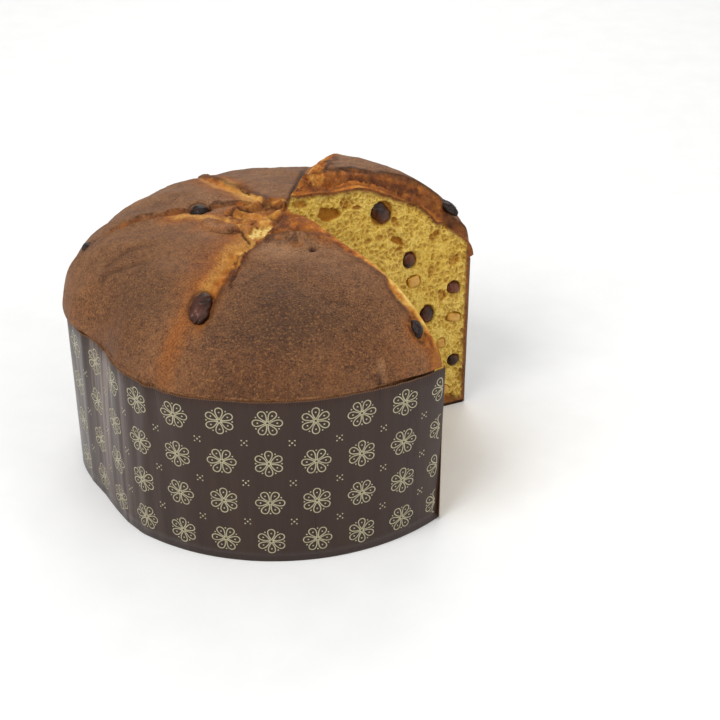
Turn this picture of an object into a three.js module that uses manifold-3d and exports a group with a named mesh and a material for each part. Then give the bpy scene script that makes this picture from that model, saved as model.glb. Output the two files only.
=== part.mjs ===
// A low, broad panettone with a wedge-shaped gap cut in it, standing in its paper case.
// Millimetres, +Z up. The origin is on the table, under the middle of the loaf, and the
// gap opens towards +X. Azimuths are degrees from +X, turning towards +Y.

import * as THREE from 'three';
import { mergeVertices } from 'three/addons/utils/BufferGeometryUtils.js';
import Module from 'manifold-3d';

const wasm = await Module();
wasm.setup();

// Paper case
const CASE_RIM_RADIUS = 105;
const CASE_BASE_RADIUS = 104.6;
const CASE_HEIGHT = 87.2;
const CASE_WALL = 0.9;
const CASE_FLOOR = 1.5;

// Where the case springs off the loaf beside the near cut, and its own cut end there
const FLARE_START = -70;
const FLARE_END = -46.5;
const CASE_FLARE = 3.4;
const LOAF_FLARE = 1.8;
const CASE_CUT_FOOT = -44.6;
const CASE_CUT_RIM = -46.5;

// One side of the round is pressed flat
const FLAT_AZIMUTH = -152;
const FLAT_SPREAD = 14;
const FLAT_DEPTH = 0.043;

// Loaf
const CLEARANCE = 0.3;
const DOME_RADIUS = 106.3;
const DOME_RISE = 44.3;
const DOME_ROUNDNESS = 2.89;
const DOME_FLATNESS = 1.91;
const OVERHANG_RISE = 1.4;
const BOTTOM_BEVEL = 2.5;
const SECTORS = 108;
const DOME_RINGS = 21;
const WALL_RINGS = 3;
const RIM_FADE = 0.94;

// Gap left by the wedge, in plan
const GAP_TIP = new THREE.Vector2(4, -4);
const NEAR_CUT_AZIMUTH = -48;
const FAR_CUT_AZIMUTH = 21;
const GAP_REACH = 160;

// Bread that rose on the far side of the gap, higher than the rest, beyond a crack that
// runs back from the gap's tip
const SWELL_RISE = 13.5;
const SWELL_RADIUS = 34;
const SWELL_SPREAD = 60;
const CRACK_AZIMUTH = 80;
const CRACK_EDGE = -1.5;
const CRACK_STEP = 3;
const CRACK_WIDENING = 0.5;
const CRACK_REACH = 30;

// Torn, skinless bread round the middle
const MIDDLE = new THREE.Vector2(-10, -4);
const MIDDLE_LENGTH = 26;
const MIDDLE_WIDTH = 15;
const MIDDLE_TURN = 25;
const MIDDLE_DEPTH = 3.5;
const MIDDLE_EDGE = { inner: 0.7, outer: 1.05 };
const MIDDLE_END = { inner: -2, outer: 4 };

// Bare bread along the cuts: its width by distance from the gap's tip, and its depth under
// the skin on the far side. The near side stands up beside the tip.
const FAR_WIDTH = [[0, 9], [15, 12], [40, 12.5], [60, 10], [80, 8], [95, 3]];
const FAR_DEPTH = [[0, 5], [12, 7], [38, 5.3], [53, 7.7], [71, 9], [84, 11], [95, 8]];
const FAR_SHARES = { slope: 0.4, skin: 0.35, ledge: 0.25 };
const FAR_LEDGE = 5;
const STEP_WIDTH = 2;
const CUT_START = { outer: -3, inner: 1 };
const CUT_SIDE = { outer: -4, inner: -1 };
const NEAR_RISE = 3;
const NEAR_PLACE = 16;
const NEAR_SPREAD = 13;
const NEAR_WIDTH = 12;

// Long waves in the skin
const LUMPS = { tall: 0.9, wide: 17, deep: 14, low: 0.5, slant: 9 };

// Tears of the scored cross, as plan routes from the middle outwards. A lip above zero
// stands on the left of its route, one below zero on the right. Along its run a tear
// narrows, its lip rises after the start and both fade out before the end.
const TEAR_TAPER = 0.5;
const TEAR_END = 0.7;
const LIP_START = { outer: 0.02, inner: 0.25 };
const LIP_PLACE = 2;
const LIP_WIDTH = 1.4;
const TEARS = [
  { route: [[-6, -15], [-13, -28], [-19, -39], [-25, -53], [-30, -63], [-34, -74], [-40, -92]],
    halfWidth: 6, depth: 3.5, lip: 2 },
  { route: [[-14, 10], [-30, 10], [-49, 6], [-69, 7], [-98, 6]],
    halfWidth: 3, depth: 3, lip: -2 },
  { route: [[-10, 14], [-20, 28], [-28, 36], [-36, 50], [-42, 66]],
    halfWidth: 4.5, depth: 3.5, lip: -1.5 },
  { route: [[3, 8], [5, 25], [7, 44], [10, 70]],
    halfWidth: 3, depth: 4, lip: -1 },
];

// Raisins on the crust: plan place, half sizes along, across and up, turn, and how far
// the middle lies under the skin
const CRUST_RAISINS = [
  { x: -35, y: -72, half: [5.4, 9, 4.2], turn: -22, sunk: 0 },
  { x: -38, y: 9.5, half: [5.2, 4.4, 4.2], turn: 20, sunk: 0.2 },
  { x: -93, y: 6, half: [3, 4.5, 3], turn: 0, sunk: 0.5 },
  { x: -37, y: 60, half: [4.5, 4, 3.2], turn: 30, sunk: 1.4 },
  { x: 61, y: -76.5, half: [2.8, 4.8, 3], turn: 25, sunk: 0.4 },
  { x: 87, y: 34.5, half: [3.6, 8, 3.6], turn: 35, sunk: 0.2 },
];

// What the far cut shows where it is open to view: place along the cut and height
const FAR_RAISINS = [
  { along: 51.5, up: 121.5, half: [4.8, 6.6, 3.2], turn: 35 },
  { along: 67.5, up: 92.5, half: [3.6, 4.4, 3], turn: -15 },
];
const FAR_PEEL = [
  { along: 70, up: 80, half: [3.6, 3.2, 2.4], turn: 12 },
];
const FAR_HOLES = [
  { along: 24, up: 126, half: [5.4, 4, 3] },
  { along: 38, up: 127.5, half: [3.2, 2.4, 2.4] },
  { along: 60.5, up: 104.5, half: [4.2, 3, 2.6] },
  { along: 44.5, up: 106.5, half: [2.6, 2.2, 2.2] },
];

// Fruit spread over the rest of both cuts
const FACE_RAISINS = 16;
const FACE_PEEL = 8;
const RAISIN_SINK = 1.6;
const FRUIT_SPACING = 14.5;
const FRUIT_FLOOR = 9;
const FRUIT_CRUST = 13;
const FRUIT_EDGE = 9;
const HIDDEN_TOP = 76;
const RAISIN_SIZES = [[2.6, 4.2], [3.2, 5.4], [2.7, 3.3]];
const PEEL_SIZES = [[1.5, 2.4], [2.4, 4.4], [2, 2.4]];
const FAR_SEED = 4211;
const NEAR_SEED = 977;
const RAISIN_PINCH = 0.1;
const PEEL_SLANT = 0.2;
const TILT_OF_RIM = 0.9;

const CRUST = { color: 0x7f4a24, roughness: 0.72 };
const PAPER = { color: 0x4b3c3a, roughness: 0.38 };
const RAISIN = { color: 0x2b1713, roughness: 0.45 };
const PEEL = { color: 0xc98a35, roughness: 0.4 };

const radians = THREE.MathUtils.degToRad;
const smoothstep = THREE.MathUtils.smoothstep;
const gauss = (value) => Math.exp(-value * value);

// A seeded draw from 0 to 1, the same on each run
function makeDraw(seed) {
  let state = seed;
  return () => {
    state = (state * 48271) % 2147483647;
    return state / 2147483647;
  };
}

function degreesApart(a, b) {
  return ((((a - b + 180) % 360) + 360) % 360) - 180;
}

// A value from a table of [place, value] rows, in straight lines between them
function fromTable(table, place) {
  const next = table.findIndex(([start]) => start > place);
  if (next === 0) return table[0][1];
  if (next < 0) return table[table.length - 1][1];
  const [start, first] = table[next - 1];
  const [end, last] = table[next];
  return THREE.MathUtils.mapLinear(place, start, end, first, last);
}

// Share of the full flare beside the near cut
function flare(azimuth) {
  const apart = degreesApart(azimuth, 0);
  return apart < 0 ? smoothstep(apart, FLARE_START, FLARE_END) : 0;
}

function planScale(azimuth) {
  return 1 - FLAT_DEPTH * gauss(degreesApart(azimuth, FLAT_AZIMUTH) / FLAT_SPREAD);
}

// Profile of the dome, from its widest point up to the middle
class DomeCurve extends THREE.Curve {
  getPoint(t) {
    const turn = (t * Math.PI) / 2;
    const radius = DOME_RADIUS * Math.cos(turn) ** (2 / DOME_ROUNDNESS);
    const height = CASE_HEIGHT + DOME_RISE * Math.sin(turn) ** (2 / DOME_FLATNESS);
    return new THREE.Vector2(t === 1 ? 0 : radius, height);
  }
}

function domeHeight(radius) {
  const share = Math.min(radius / DOME_RADIUS, 1) ** DOME_ROUNDNESS;
  return CASE_HEIGHT + DOME_RISE * (1 - share) ** (1 / DOME_FLATNESS);
}

// Signed distance to a plan route, above zero on its left, and the share of its length run
function besideRoute(route, x, y) {
  let best = { distance: Infinity, run: 0 };
  const legs = route.length - 1;
  for (let i = 0; i < legs; i += 1) {
    const [ax, ay] = route[i];
    const dx = route[i + 1][0] - ax;
    const dy = route[i + 1][1] - ay;
    const share = THREE.MathUtils.clamp(
      ((x - ax) * dx + (y - ay) * dy) / (dx * dx + dy * dy), 0, 1);
    const offX = x - ax - share * dx;
    const offY = y - ay - share * dy;
    const distance = Math.hypot(offX, offY);
    if (distance < Math.abs(best.distance)) {
      const side = dx * offY - dy * offX < 0 ? -1 : 1;
      best = { distance: side * distance, run: (i + share) / legs };
    }
  }
  return best;
}

// A tear is a groove that narrows outwards, with a raised edge of skin on one side
function tearRelief(tear, x, y) {
  const { distance, run } = besideRoute(tear.route, x, y);
  const width = tear.halfWidth * (1 - TEAR_TAPER * run);
  const fade = 1 - smoothstep(run, TEAR_END, 1);
  const side = Math.sign(tear.lip) * distance;
  const raised = Math.abs(tear.lip) * smoothstep(run, LIP_START.outer, LIP_START.inner);
  const lip = raised * gauss((side - LIP_PLACE * width) / (LIP_WIDTH * width));
  return fade * (lip - tear.depth * gauss(distance / width));
}

// Distance from a cut's upright plane into the bread
function behindCut(azimuth, keptSide, x, y) {
  const turn = radians(azimuth);
  return keptSide * (-(x - GAP_TIP.x) * Math.sin(turn) + (y - GAP_TIP.y) * Math.cos(turn));
}

// Distance along a cut from the gap's tip
function alongCut(azimuth, x, y) {
  const turn = radians(azimuth);
  return (x - GAP_TIP.x) * Math.cos(turn) + (y - GAP_TIP.y) * Math.sin(turn);
}

// Share that a place belongs to the bread behind a cut, soft round the gap's tip
function besideCut(azimuth, behind, x, y) {
  return smoothstep(alongCut(azimuth, x, y), CUT_START.outer, CUT_START.inner)
    * smoothstep(behind, CUT_SIDE.outer, CUT_SIDE.inner);
}

function farRelief(x, y) {
  const behind = behindCut(FAR_CUT_AZIMUTH, 1, x, y);
  const run = alongCut(FAR_CUT_AZIMUTH, x, y);
  const width = fromTable(FAR_WIDTH, run);
  const slope = FAR_SHARES.slope * (1 - smoothstep(behind, 0, width));
  const skin = FAR_SHARES.skin * (1 - smoothstep(behind, width - STEP_WIDTH, width));
  const end = width - FAR_LEDGE;
  const ledge = FAR_SHARES.ledge * (1 - smoothstep(behind, end - STEP_WIDTH, end));
  const share = besideCut(FAR_CUT_AZIMUTH, behind, x, y);
  return -share * fromTable(FAR_DEPTH, run) * (slope + skin + ledge);
}

function nearRelief(x, y) {
  const behind = behindCut(NEAR_CUT_AZIMUTH, -1, x, y);
  const far = besideCut(FAR_CUT_AZIMUTH, behindCut(FAR_CUT_AZIMUTH, 1, x, y), x, y);
  const run = alongCut(NEAR_CUT_AZIMUTH, x, y);
  const share = besideCut(NEAR_CUT_AZIMUTH, behind, x, y) * (1 - far);
  return share * NEAR_RISE * gauss((run - NEAR_PLACE) / NEAR_SPREAD)
    * (1 - smoothstep(behind, STEP_WIDTH, NEAR_WIDTH));
}

function swellRelief(x, y) {
  const behind = behindCut(FAR_CUT_AZIMUTH, 1, x, y);
  const crack = radians(CRACK_AZIMUTH);
  const past = (x - GAP_TIP.x) * Math.sin(crack) - (y - GAP_TIP.y) * Math.cos(crack);
  const step = CRACK_STEP + CRACK_WIDENING * THREE.MathUtils.clamp(behind, 0, CRACK_REACH);
  const share = smoothstep(past, CRACK_EDGE, step) * smoothstep(behind, CUT_SIDE.outer, 0);
  const beyond = Math.max(Math.hypot(x, y) - SWELL_RADIUS, 0);
  return SWELL_RISE * share * gauss(beyond / SWELL_SPREAD);
}

function middleRelief(x, y) {
  const turn = radians(MIDDLE_TURN);
  const along = (x - MIDDLE.x) * Math.cos(turn) + (y - MIDDLE.y) * Math.sin(turn);
  const across = -(x - MIDDLE.x) * Math.sin(turn) + (y - MIDDLE.y) * Math.cos(turn);
  const out = Math.hypot(along / MIDDLE_LENGTH, across / MIDDLE_WIDTH);
  const left = 1 - smoothstep(x, MIDDLE_END.inner, MIDDLE_END.outer);
  return -MIDDLE_DEPTH * left * (1 - smoothstep(out, MIDDLE_EDGE.inner, MIDDLE_EDGE.outer));
}

// Height of the crust's relief over the plain dome, faded out at the paper's rim
function crustRelief(x, y) {
  const out = Math.hypot(x, y) / DOME_RADIUS;
  const fade = 1 - smoothstep(out, RIM_FADE, 1);
  const tears = TEARS.reduce((sum, tear) => sum + tearRelief(tear, x, y), 0);
  const lumps = LUMPS.tall * Math.sin(x / LUMPS.wide + 1) * Math.cos(y / LUMPS.deep)
    + LUMPS.low * Math.sin((x + 2 * y) / LUMPS.slant);
  return fade * (tears + lumps + farRelief(x, y) + nearRelief(x, y)
    + swellRelief(x, y) + middleRelief(x, y));
}

// A closed lathe whose every profile point is set by place(azimuth in degrees, index)
function turned(profile, place) {
  const geometry = new THREE.LatheGeometry(profile, SECTORS);
  const position = geometry.getAttribute('position');
  for (let i = 0; i <= SECTORS; i += 1) {
    const azimuth = ((i % SECTORS) * 360) / SECTORS;
    profile.forEach((_, j) => {
      position.setXYZ(i * profile.length + j, ...place(azimuth, j));
    });
  }
  return geometry;
}

// Closed solid of a geometry, its shared corners merged and its faces outwards
function solidOf(geometry) {
  const bare = geometry.clone();
  bare.deleteAttribute('normal');
  bare.deleteAttribute('uv');
  const merged = mergeVertices(bare, 1e-4);
  const corners = merged.getIndex().array;
  const triangles = [];
  for (let i = 0; i < corners.length; i += 3) {
    const [a, b, c] = corners.slice(i, i + 3);
    if (a !== b && b !== c && c !== a) triangles.push(a, b, c);
  }
  return new wasm.Manifold(new wasm.Mesh({
    numProp: 3,
    vertProperties: new Float32Array(merged.getAttribute('position').array),
    triVerts: new Uint32Array(triangles),
  }));
}

function meshOf(name, solid, finish) {
  const { vertProperties, triVerts } = solid.getMesh();
  const geometry = new THREE.BufferGeometry();
  geometry.setAttribute('position', new THREE.BufferAttribute(vertProperties, 3));
  geometry.setIndex(new THREE.BufferAttribute(triVerts, 1));
  geometry.computeVertexNormals();
  const material = new THREE.MeshStandardMaterial({ metalness: 0, ...finish });
  const mesh = new THREE.Mesh(geometry, material);
  mesh.name = name;
  return mesh;
}

// The space of the missing wedge, through the whole loaf. Its near side may lean: it has
// one azimuth at the foot and one at the rim.
function gapSolid(nearFoot, nearRim) {
  const far = radians(FAR_CUT_AZIMUTH);
  const corner = (azimuth) => new THREE.Vector2(Math.cos(azimuth), Math.sin(azimuth))
    .multiplyScalar(GAP_REACH).add(GAP_TIP);
  const outline = new THREE.Shape([
    GAP_TIP, corner(radians(nearFoot)), new THREE.Vector2(2 * GAP_REACH, GAP_TIP.y), corner(far),
  ]);
  const prism = new THREE.ExtrudeGeometry(outline, { depth: 2 * GAP_REACH, bevelEnabled: false });
  prism.translate(0, 0, -GAP_REACH / 2);
  const position = prism.getAttribute('position');
  const foot = corner(radians(nearFoot));
  for (let i = 0; i < position.count; i += 1) {
    const height = position.getZ(i);
    if (Math.hypot(position.getX(i) - foot.x, position.getY(i) - foot.y) < 1) {
      const azimuth = THREE.MathUtils.mapLinear(height, 0, CASE_HEIGHT, nearFoot, nearRim);
      const moved = corner(radians(azimuth));
      position.setXYZ(i, moved.x, moved.y, height);
    }
  }
  return solidOf(prism);
}

// Loaf before it is cut: flat bottom, side that fills the case, overhanging lip and dome
function wholeLoaf() {
  const side = CASE_RIM_RADIUS - CASE_WALL - CLEARANCE;
  const foot = CASE_BASE_RADIUS - CASE_WALL - CLEARANCE;
  const bottom = CASE_FLOOR + CLEARANCE;
  const lip = CASE_HEIGHT + CLEARANCE;
  const profile = [new THREE.Vector2(0, bottom), new THREE.Vector2(foot - BOTTOM_BEVEL, bottom)];
  for (let i = 0; i <= WALL_RINGS; i += 1) {
    const share = i / WALL_RINGS;
    profile.push(new THREE.Vector2(THREE.MathUtils.lerp(foot, side, share),
      THREE.MathUtils.lerp(bottom + BOTTOM_BEVEL, lip, share)));
  }
  const domeStart = profile.length;
  const dome = new DomeCurve().getSpacedPoints(DOME_RINGS);
  dome[0].set(DOME_RADIUS, CASE_HEIGHT + OVERHANG_RISE);
  profile.push(...dome);
  return turned(profile, (azimuth, j) => {
    const turn = radians(azimuth);
    const { x: radius, y: height } = profile[j];
    const sprung = j < domeStart ? 0 : LOAF_FLARE * flare(azimuth) * (radius / DOME_RADIUS) ** 6;
    const reach = radius * planScale(azimuth) + sprung;
    const x = reach * Math.cos(turn);
    const y = reach * Math.sin(turn);
    if (j < domeStart) return [x, y, height];
    const relief = crustRelief(radius * Math.cos(turn), radius * Math.sin(turn));
    const slope = new THREE.Vector2(radius / DOME_RADIUS, 1).normalize();
    return [x + relief * slope.x * Math.cos(turn) * (radius / DOME_RADIUS),
      y + relief * slope.x * Math.sin(turn) * (radius / DOME_RADIUS),
      height + relief * slope.y];
  });
}

// Paper case: one thin wall and floor, cut through together with the loaf
function wholeCase() {
  const profile = [
    new THREE.Vector2(0, 0),
    new THREE.Vector2(CASE_BASE_RADIUS, 0),
    new THREE.Vector2(CASE_RIM_RADIUS, CASE_HEIGHT),
    new THREE.Vector2(CASE_RIM_RADIUS - CASE_WALL, CASE_HEIGHT),
    new THREE.Vector2(CASE_BASE_RADIUS - CASE_WALL, CASE_FLOOR),
    new THREE.Vector2(0, CASE_FLOOR),
  ];
  return turned(profile, (azimuth, j) => {
    const turn = radians(azimuth);
    const { x: radius, y: height } = profile[j];
    const sprung = CASE_FLARE * flare(azimuth) * (height / CASE_HEIGHT) * (radius / CASE_RIM_RADIUS);
    const reach = radius * planScale(azimuth) + sprung;
    return [reach * Math.cos(turn), reach * Math.sin(turn), height];
  });
}

// A raisin is an uneven, squashed bead
function raisinShape(half, phase, margin) {
  const bead = new THREE.SphereGeometry(1, 6, 5);
  const position = bead.getAttribute('position');
  const point = new THREE.Vector3();
  for (let i = 0; i < position.count; i += 1) {
    point.fromBufferAttribute(position, i);
    const wave = Math.sin(3 * point.x + phase) * Math.cos(2 * point.y - phase);
    const pinch = 1 + RAISIN_PINCH * wave * (1 - point.y * point.y);
    point.set(point.x * pinch * (half[0] + margin), point.y * (half[1] + margin),
      point.z * pinch * (half[2] + margin));
    position.setXYZ(i, point.x, point.y, point.z);
  }
  return bead;
}

// Candied peel is a small block with a slanted cut
function peelShape(half, phase, margin) {
  const block = new THREE.BoxGeometry(
    2 * (half[0] + margin), 2 * (half[1] + margin), 2 * (half[2] + margin));
  const slant = PEEL_SLANT * Math.sin(phase);
  const shear = new THREE.Matrix4().makeShear(slant, 0, 0, 0, 0, 0);
  return block.applyMatrix4(shear);
}

// Axes of a cut's face: along the cut from the gap's tip, up, and out into the gap
function cutFrame(azimuth, keptSide) {
  const turn = radians(azimuth);
  const along = new THREE.Vector3(Math.cos(turn), Math.sin(turn), 0);
  const out = new THREE.Vector3(Math.sin(turn), -Math.cos(turn), 0).multiplyScalar(keptSide);
  return { along, out, up: new THREE.Vector3(0, 0, 1) };
}

// Place of a piece in a cut's face. Both faces get a right-handed frame.
function onCut(frame, spot, sink) {
  const origin = new THREE.Vector3(GAP_TIP.x, GAP_TIP.y, spot.up)
    .addScaledVector(frame.along, spot.along)
    .addScaledVector(frame.out, -sink);
  const side = new THREE.Vector3().crossVectors(frame.up, frame.out);
  const basis = new THREE.Matrix4().makeBasis(side, frame.up, frame.out);
  const turn = new THREE.Matrix4().makeRotationZ(radians(spot.turn ?? 0));
  return new THREE.Matrix4().setPosition(origin).multiply(basis).multiply(turn);
}

function onCrust(spot) {
  const height = domeHeight(Math.hypot(spot.x, spot.y)) + crustRelief(spot.x, spot.y);
  const outward = new THREE.Vector3(spot.x, spot.y, 0)
    .multiplyScalar(TILT_OF_RIM * Math.hypot(spot.x, spot.y) / DOME_RADIUS ** 2)
    .add(new THREE.Vector3(0, 0, 1)).normalize();
  const tilt = new THREE.Matrix4().makeRotationFromQuaternion(
    new THREE.Quaternion().setFromUnitVectors(new THREE.Vector3(0, 0, 1), outward));
  const turn = new THREE.Matrix4().makeRotationZ(radians(spot.turn));
  const origin = new THREE.Vector3(spot.x, spot.y, height).addScaledVector(outward, -spot.sunk);
  return new THREE.Matrix4().setPosition(origin).multiply(tilt).multiply(turn);
}

// Spots for fruit over a cut's face, kept apart from each other and off the crust
function scatterSpots(draw, taken, count, top, sizes) {
  const spots = [];
  while (spots.length < count) {
    const along = THREE.MathUtils.lerp(FRUIT_EDGE, CASE_BASE_RADIUS - FRUIT_EDGE, draw());
    const ceiling = Math.min(top, domeHeight(along) - FRUIT_CRUST);
    const up = THREE.MathUtils.lerp(FRUIT_FLOOR, ceiling, draw());
    const free = [...taken, ...spots].every(
      (other) => Math.hypot(other.along - along, other.up - up) > FRUIT_SPACING);
    const half = sizes.map(([low, high]) => THREE.MathUtils.lerp(low, high, draw()));
    const turn = 180 * draw();
    if (free) spots.push({ along, up, half, turn });
  }
  return spots;
}

function fruitOfCut(frame, seed, shownRaisins, shownPeel, holes, top) {
  const draw = makeDraw(seed);
  const fixed = [...shownRaisins, ...shownPeel, ...holes];
  const moreRaisins = scatterSpots(draw, fixed, FACE_RAISINS - shownRaisins.length, top, RAISIN_SIZES);
  const morePeel = scatterSpots(draw, [...fixed, ...moreRaisins],
    FACE_PEEL - shownPeel.length, top, PEEL_SIZES);
  const place = (spot) => ({ ...spot, at: onCut(frame, spot, RAISIN_SINK) });
  return {
    raisins: [...shownRaisins, ...moreRaisins].map(place),
    peel: [...shownPeel, ...morePeel].map(place),
  };
}

const farFrame = cutFrame(FAR_CUT_AZIMUTH, 1);
const nearFrame = cutFrame(NEAR_CUT_AZIMUTH, -1);
const farFruit = fruitOfCut(farFrame, FAR_SEED, FAR_RAISINS, FAR_PEEL, FAR_HOLES, HIDDEN_TOP);
const nearFruit = fruitOfCut(nearFrame, NEAR_SEED, [], [], [], Infinity);
const raisins = [
  ...CRUST_RAISINS.map((spot) => ({ ...spot, at: onCrust(spot) })),
  ...farFruit.raisins,
  ...nearFruit.raisins,
];
const peels = [...farFruit.peel, ...nearFruit.peel];

const gap = gapSolid(NEAR_CUT_AZIMUTH, NEAR_CUT_AZIMUTH);
const caseGap = gapSolid(CASE_CUT_FOOT, CASE_CUT_RIM);
const panettone = new THREE.Group();
let loaf = solidOf(wholeLoaf()).subtract(gap);

FAR_HOLES.forEach((hole, i) => {
  loaf = loaf.subtract(solidOf(raisinShape(hole.half, i, 0).applyMatrix4(onCut(farFrame, hole, 0))));
});

function addFruit(list, prefix, shape, finish) {
  list.forEach((piece, i) => {
    const label = `${prefix}_${String(i + 1).padStart(2, '0')}`;
    loaf = loaf.subtract(solidOf(shape(piece.half, i, CLEARANCE).applyMatrix4(piece.at)));
    panettone.add(meshOf(label, solidOf(shape(piece.half, i, 0).applyMatrix4(piece.at)), finish));
  });
}

addFruit(raisins, 'raisin', raisinShape, RAISIN);
addFruit(peels, 'candied_peel', peelShape, PEEL);
panettone.add(meshOf('paper_case', solidOf(wholeCase()).subtract(caseGap), PAPER));
panettone.add(meshOf('loaf', loaf, CRUST));

export default panettone;
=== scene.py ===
import math

import bmesh
import bpy
import numpy as np
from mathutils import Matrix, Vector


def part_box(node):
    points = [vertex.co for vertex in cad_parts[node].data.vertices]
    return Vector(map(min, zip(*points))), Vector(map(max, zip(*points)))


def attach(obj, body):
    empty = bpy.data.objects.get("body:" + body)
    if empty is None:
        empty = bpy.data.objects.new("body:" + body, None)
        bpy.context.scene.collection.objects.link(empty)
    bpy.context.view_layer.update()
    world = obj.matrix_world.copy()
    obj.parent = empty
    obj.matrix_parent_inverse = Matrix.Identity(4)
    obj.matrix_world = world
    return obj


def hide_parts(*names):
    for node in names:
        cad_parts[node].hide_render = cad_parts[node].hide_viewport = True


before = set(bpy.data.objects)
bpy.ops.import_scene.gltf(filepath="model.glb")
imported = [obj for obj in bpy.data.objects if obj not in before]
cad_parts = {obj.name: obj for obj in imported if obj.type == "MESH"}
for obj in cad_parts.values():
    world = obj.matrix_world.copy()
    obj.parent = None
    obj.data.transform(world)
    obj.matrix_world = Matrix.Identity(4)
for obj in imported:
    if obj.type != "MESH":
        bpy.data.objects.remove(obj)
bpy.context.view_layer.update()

MM = 0.001


# The view. A studio camera with a long lens looks down on the front of the loaf, a little
# to the right of straight on.
CAMERA_REACH = 798.3
CAMERA_LIFT = math.radians(32.92)
CAMERA_DIP = math.radians(29.96)
CAMERA_SWING = math.radians(3.43)
FOCAL_PIXELS = 1516.3
IMAGE_PIXELS = 720
SENSOR_WIDTH = 36.0

camera = bpy.data.objects.new("camera", bpy.data.cameras.new("camera"))
bpy.context.scene.collection.objects.link(camera)
camera.data.sensor_width = SENSOR_WIDTH
camera.data.lens = SENSOR_WIDTH * FOCAL_PIXELS / IMAGE_PIXELS
camera.location = (0.0, -CAMERA_REACH * math.cos(CAMERA_LIFT) * MM,
                   CAMERA_REACH * math.sin(CAMERA_LIFT) * MM)
camera.rotation_euler = (math.pi / 2 - CAMERA_DIP, 0.0, -CAMERA_SWING)
bpy.context.scene.camera = camera


# The light. One large soft box stands high on the left, a weaker one low on the right, and
# a bright room fills the shade.
SOFT_BOXES = [
    # name, place in metres, side in metres, watts
    ("key_light", (-0.75, -0.75, 1.25), 0.9, 15.0),
    ("fill_light", (1.1, -0.7, 0.7), 1.0, 5.5),
    ("back_light", (0.1, 1.1, 1.0), 0.8, 5.0),
]
ROOM_BRIGHTNESS = 0.5
LIGHT_TARGET = (0.0, 0.0, 0.07)


def aim(thing, target):
    """Turns a light so that its own -Z axis points at the target."""
    away = np.array(thing.location) - np.array(target)
    flat = math.hypot(away[0], away[1])
    thing.rotation_euler = (math.atan2(flat, away[2]), 0.0, math.atan2(away[0], -away[1]))


for name, place, side, watts in SOFT_BOXES:
    lamp = bpy.data.objects.new(name, bpy.data.lights.new(name, "AREA"))
    lamp.data.size = side
    lamp.data.energy = watts
    lamp.location = place
    aim(lamp, LIGHT_TARGET)
    bpy.context.scene.collection.objects.link(lamp)

room = bpy.data.worlds.new("room")
room.use_nodes = True
room.node_tree.nodes["Background"].inputs["Color"].default_value = (1.0, 1.0, 1.0, 1.0)
room.node_tree.nodes["Background"].inputs["Strength"].default_value = ROOM_BRIGHTNESS
bpy.context.scene.world = room
bpy.context.scene.view_settings.view_transform = "Standard"


# The floor. A plain sheet of pale paper that the case stands on.
FLOOR_SIDE = 4.0
FLOOR_COLOUR = (250, 250, 249)
FLOOR_FIBRE_COLOUR = (254, 254, 253)


def paint(red, green, blue):
    """A screen colour, 0 to 255 a channel, as the linear colour that a shader takes."""
    share = np.array([red, green, blue]) / 255.0
    linear = np.where(share <= 0.04045, share / 12.92, ((share + 0.055) / 1.055) ** 2.4)
    return (*[float(channel) for channel in linear], 1.0)


def start_material(name):
    """A new node material: returns it, its tree, its shader and its Object coordinates."""
    material = bpy.data.materials.new(name)
    material.use_nodes = True
    tree = material.node_tree
    shader = tree.nodes["Principled BSDF"]
    place = tree.nodes.new("ShaderNodeTexCoord").outputs["Object"]
    return material, tree, shader, place


def add_node(tree, kind, values=None, **settings):
    """A shader node. Its inputs are set from values, by link where a value is a socket."""
    new = tree.nodes.new(kind)
    for key, setting in settings.items():
        setattr(new, key, setting)
    for key, value in (values or {}).items():
        if isinstance(value, bpy.types.NodeSocket):
            tree.links.new(value, new.inputs[key])
        else:
            new.inputs[key].default_value = value
    return new


def noise(tree, place, scale, detail=3.0, roughness=0.55, stretch=(1.0, 1.0, 1.0)):
    """Noise from 0 to 1 over Object coordinates, stretched along the axes."""
    mapped = add_node(tree, "ShaderNodeMapping", {"Vector": place, "Scale": stretch})
    return add_node(tree, "ShaderNodeTexNoise", {
        "Vector": mapped.outputs["Vector"], "Scale": scale, "Detail": detail,
        "Roughness": roughness}).outputs["Fac"]


def remap(tree, value, low, high, to_low=0.0, to_high=1.0):
    """A value's span low to high carried onto to_low to to_high, and held there."""
    return add_node(tree, "ShaderNodeMapRange", {
        "Value": value, "From Min": low, "From Max": high,
        "To Min": to_low, "To Max": to_high}).outputs["Result"]


def blend(tree, share, first, second):
    """A colour between two colours by a share from 0 to 1."""
    return add_node(tree, "ShaderNodeMixRGB", {
        "Fac": share, "Color1": first, "Color2": second}).outputs["Color"]


def arithmetic(tree, operation, first, second):
    """One sum, product or the like of two values."""
    return add_node(tree, "ShaderNodeMath", {0: first, 1: second},
                    operation=operation).outputs["Value"]


def measured(tree, name):
    """A mesh's own measure at each point, such as how torn its crust is there."""
    return add_node(tree, "ShaderNodeAttribute", attribute_name=name).outputs["Fac"]


def raise_bump(tree, shader, height, distance, strength=1.0):
    """Fine relief on the shader's normal, distance in metres."""
    bump = add_node(tree, "ShaderNodeBump", {
        "Height": height, "Distance": distance, "Strength": strength})
    tree.links.new(bump.outputs["Normal"], shader.inputs["Normal"])


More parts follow.
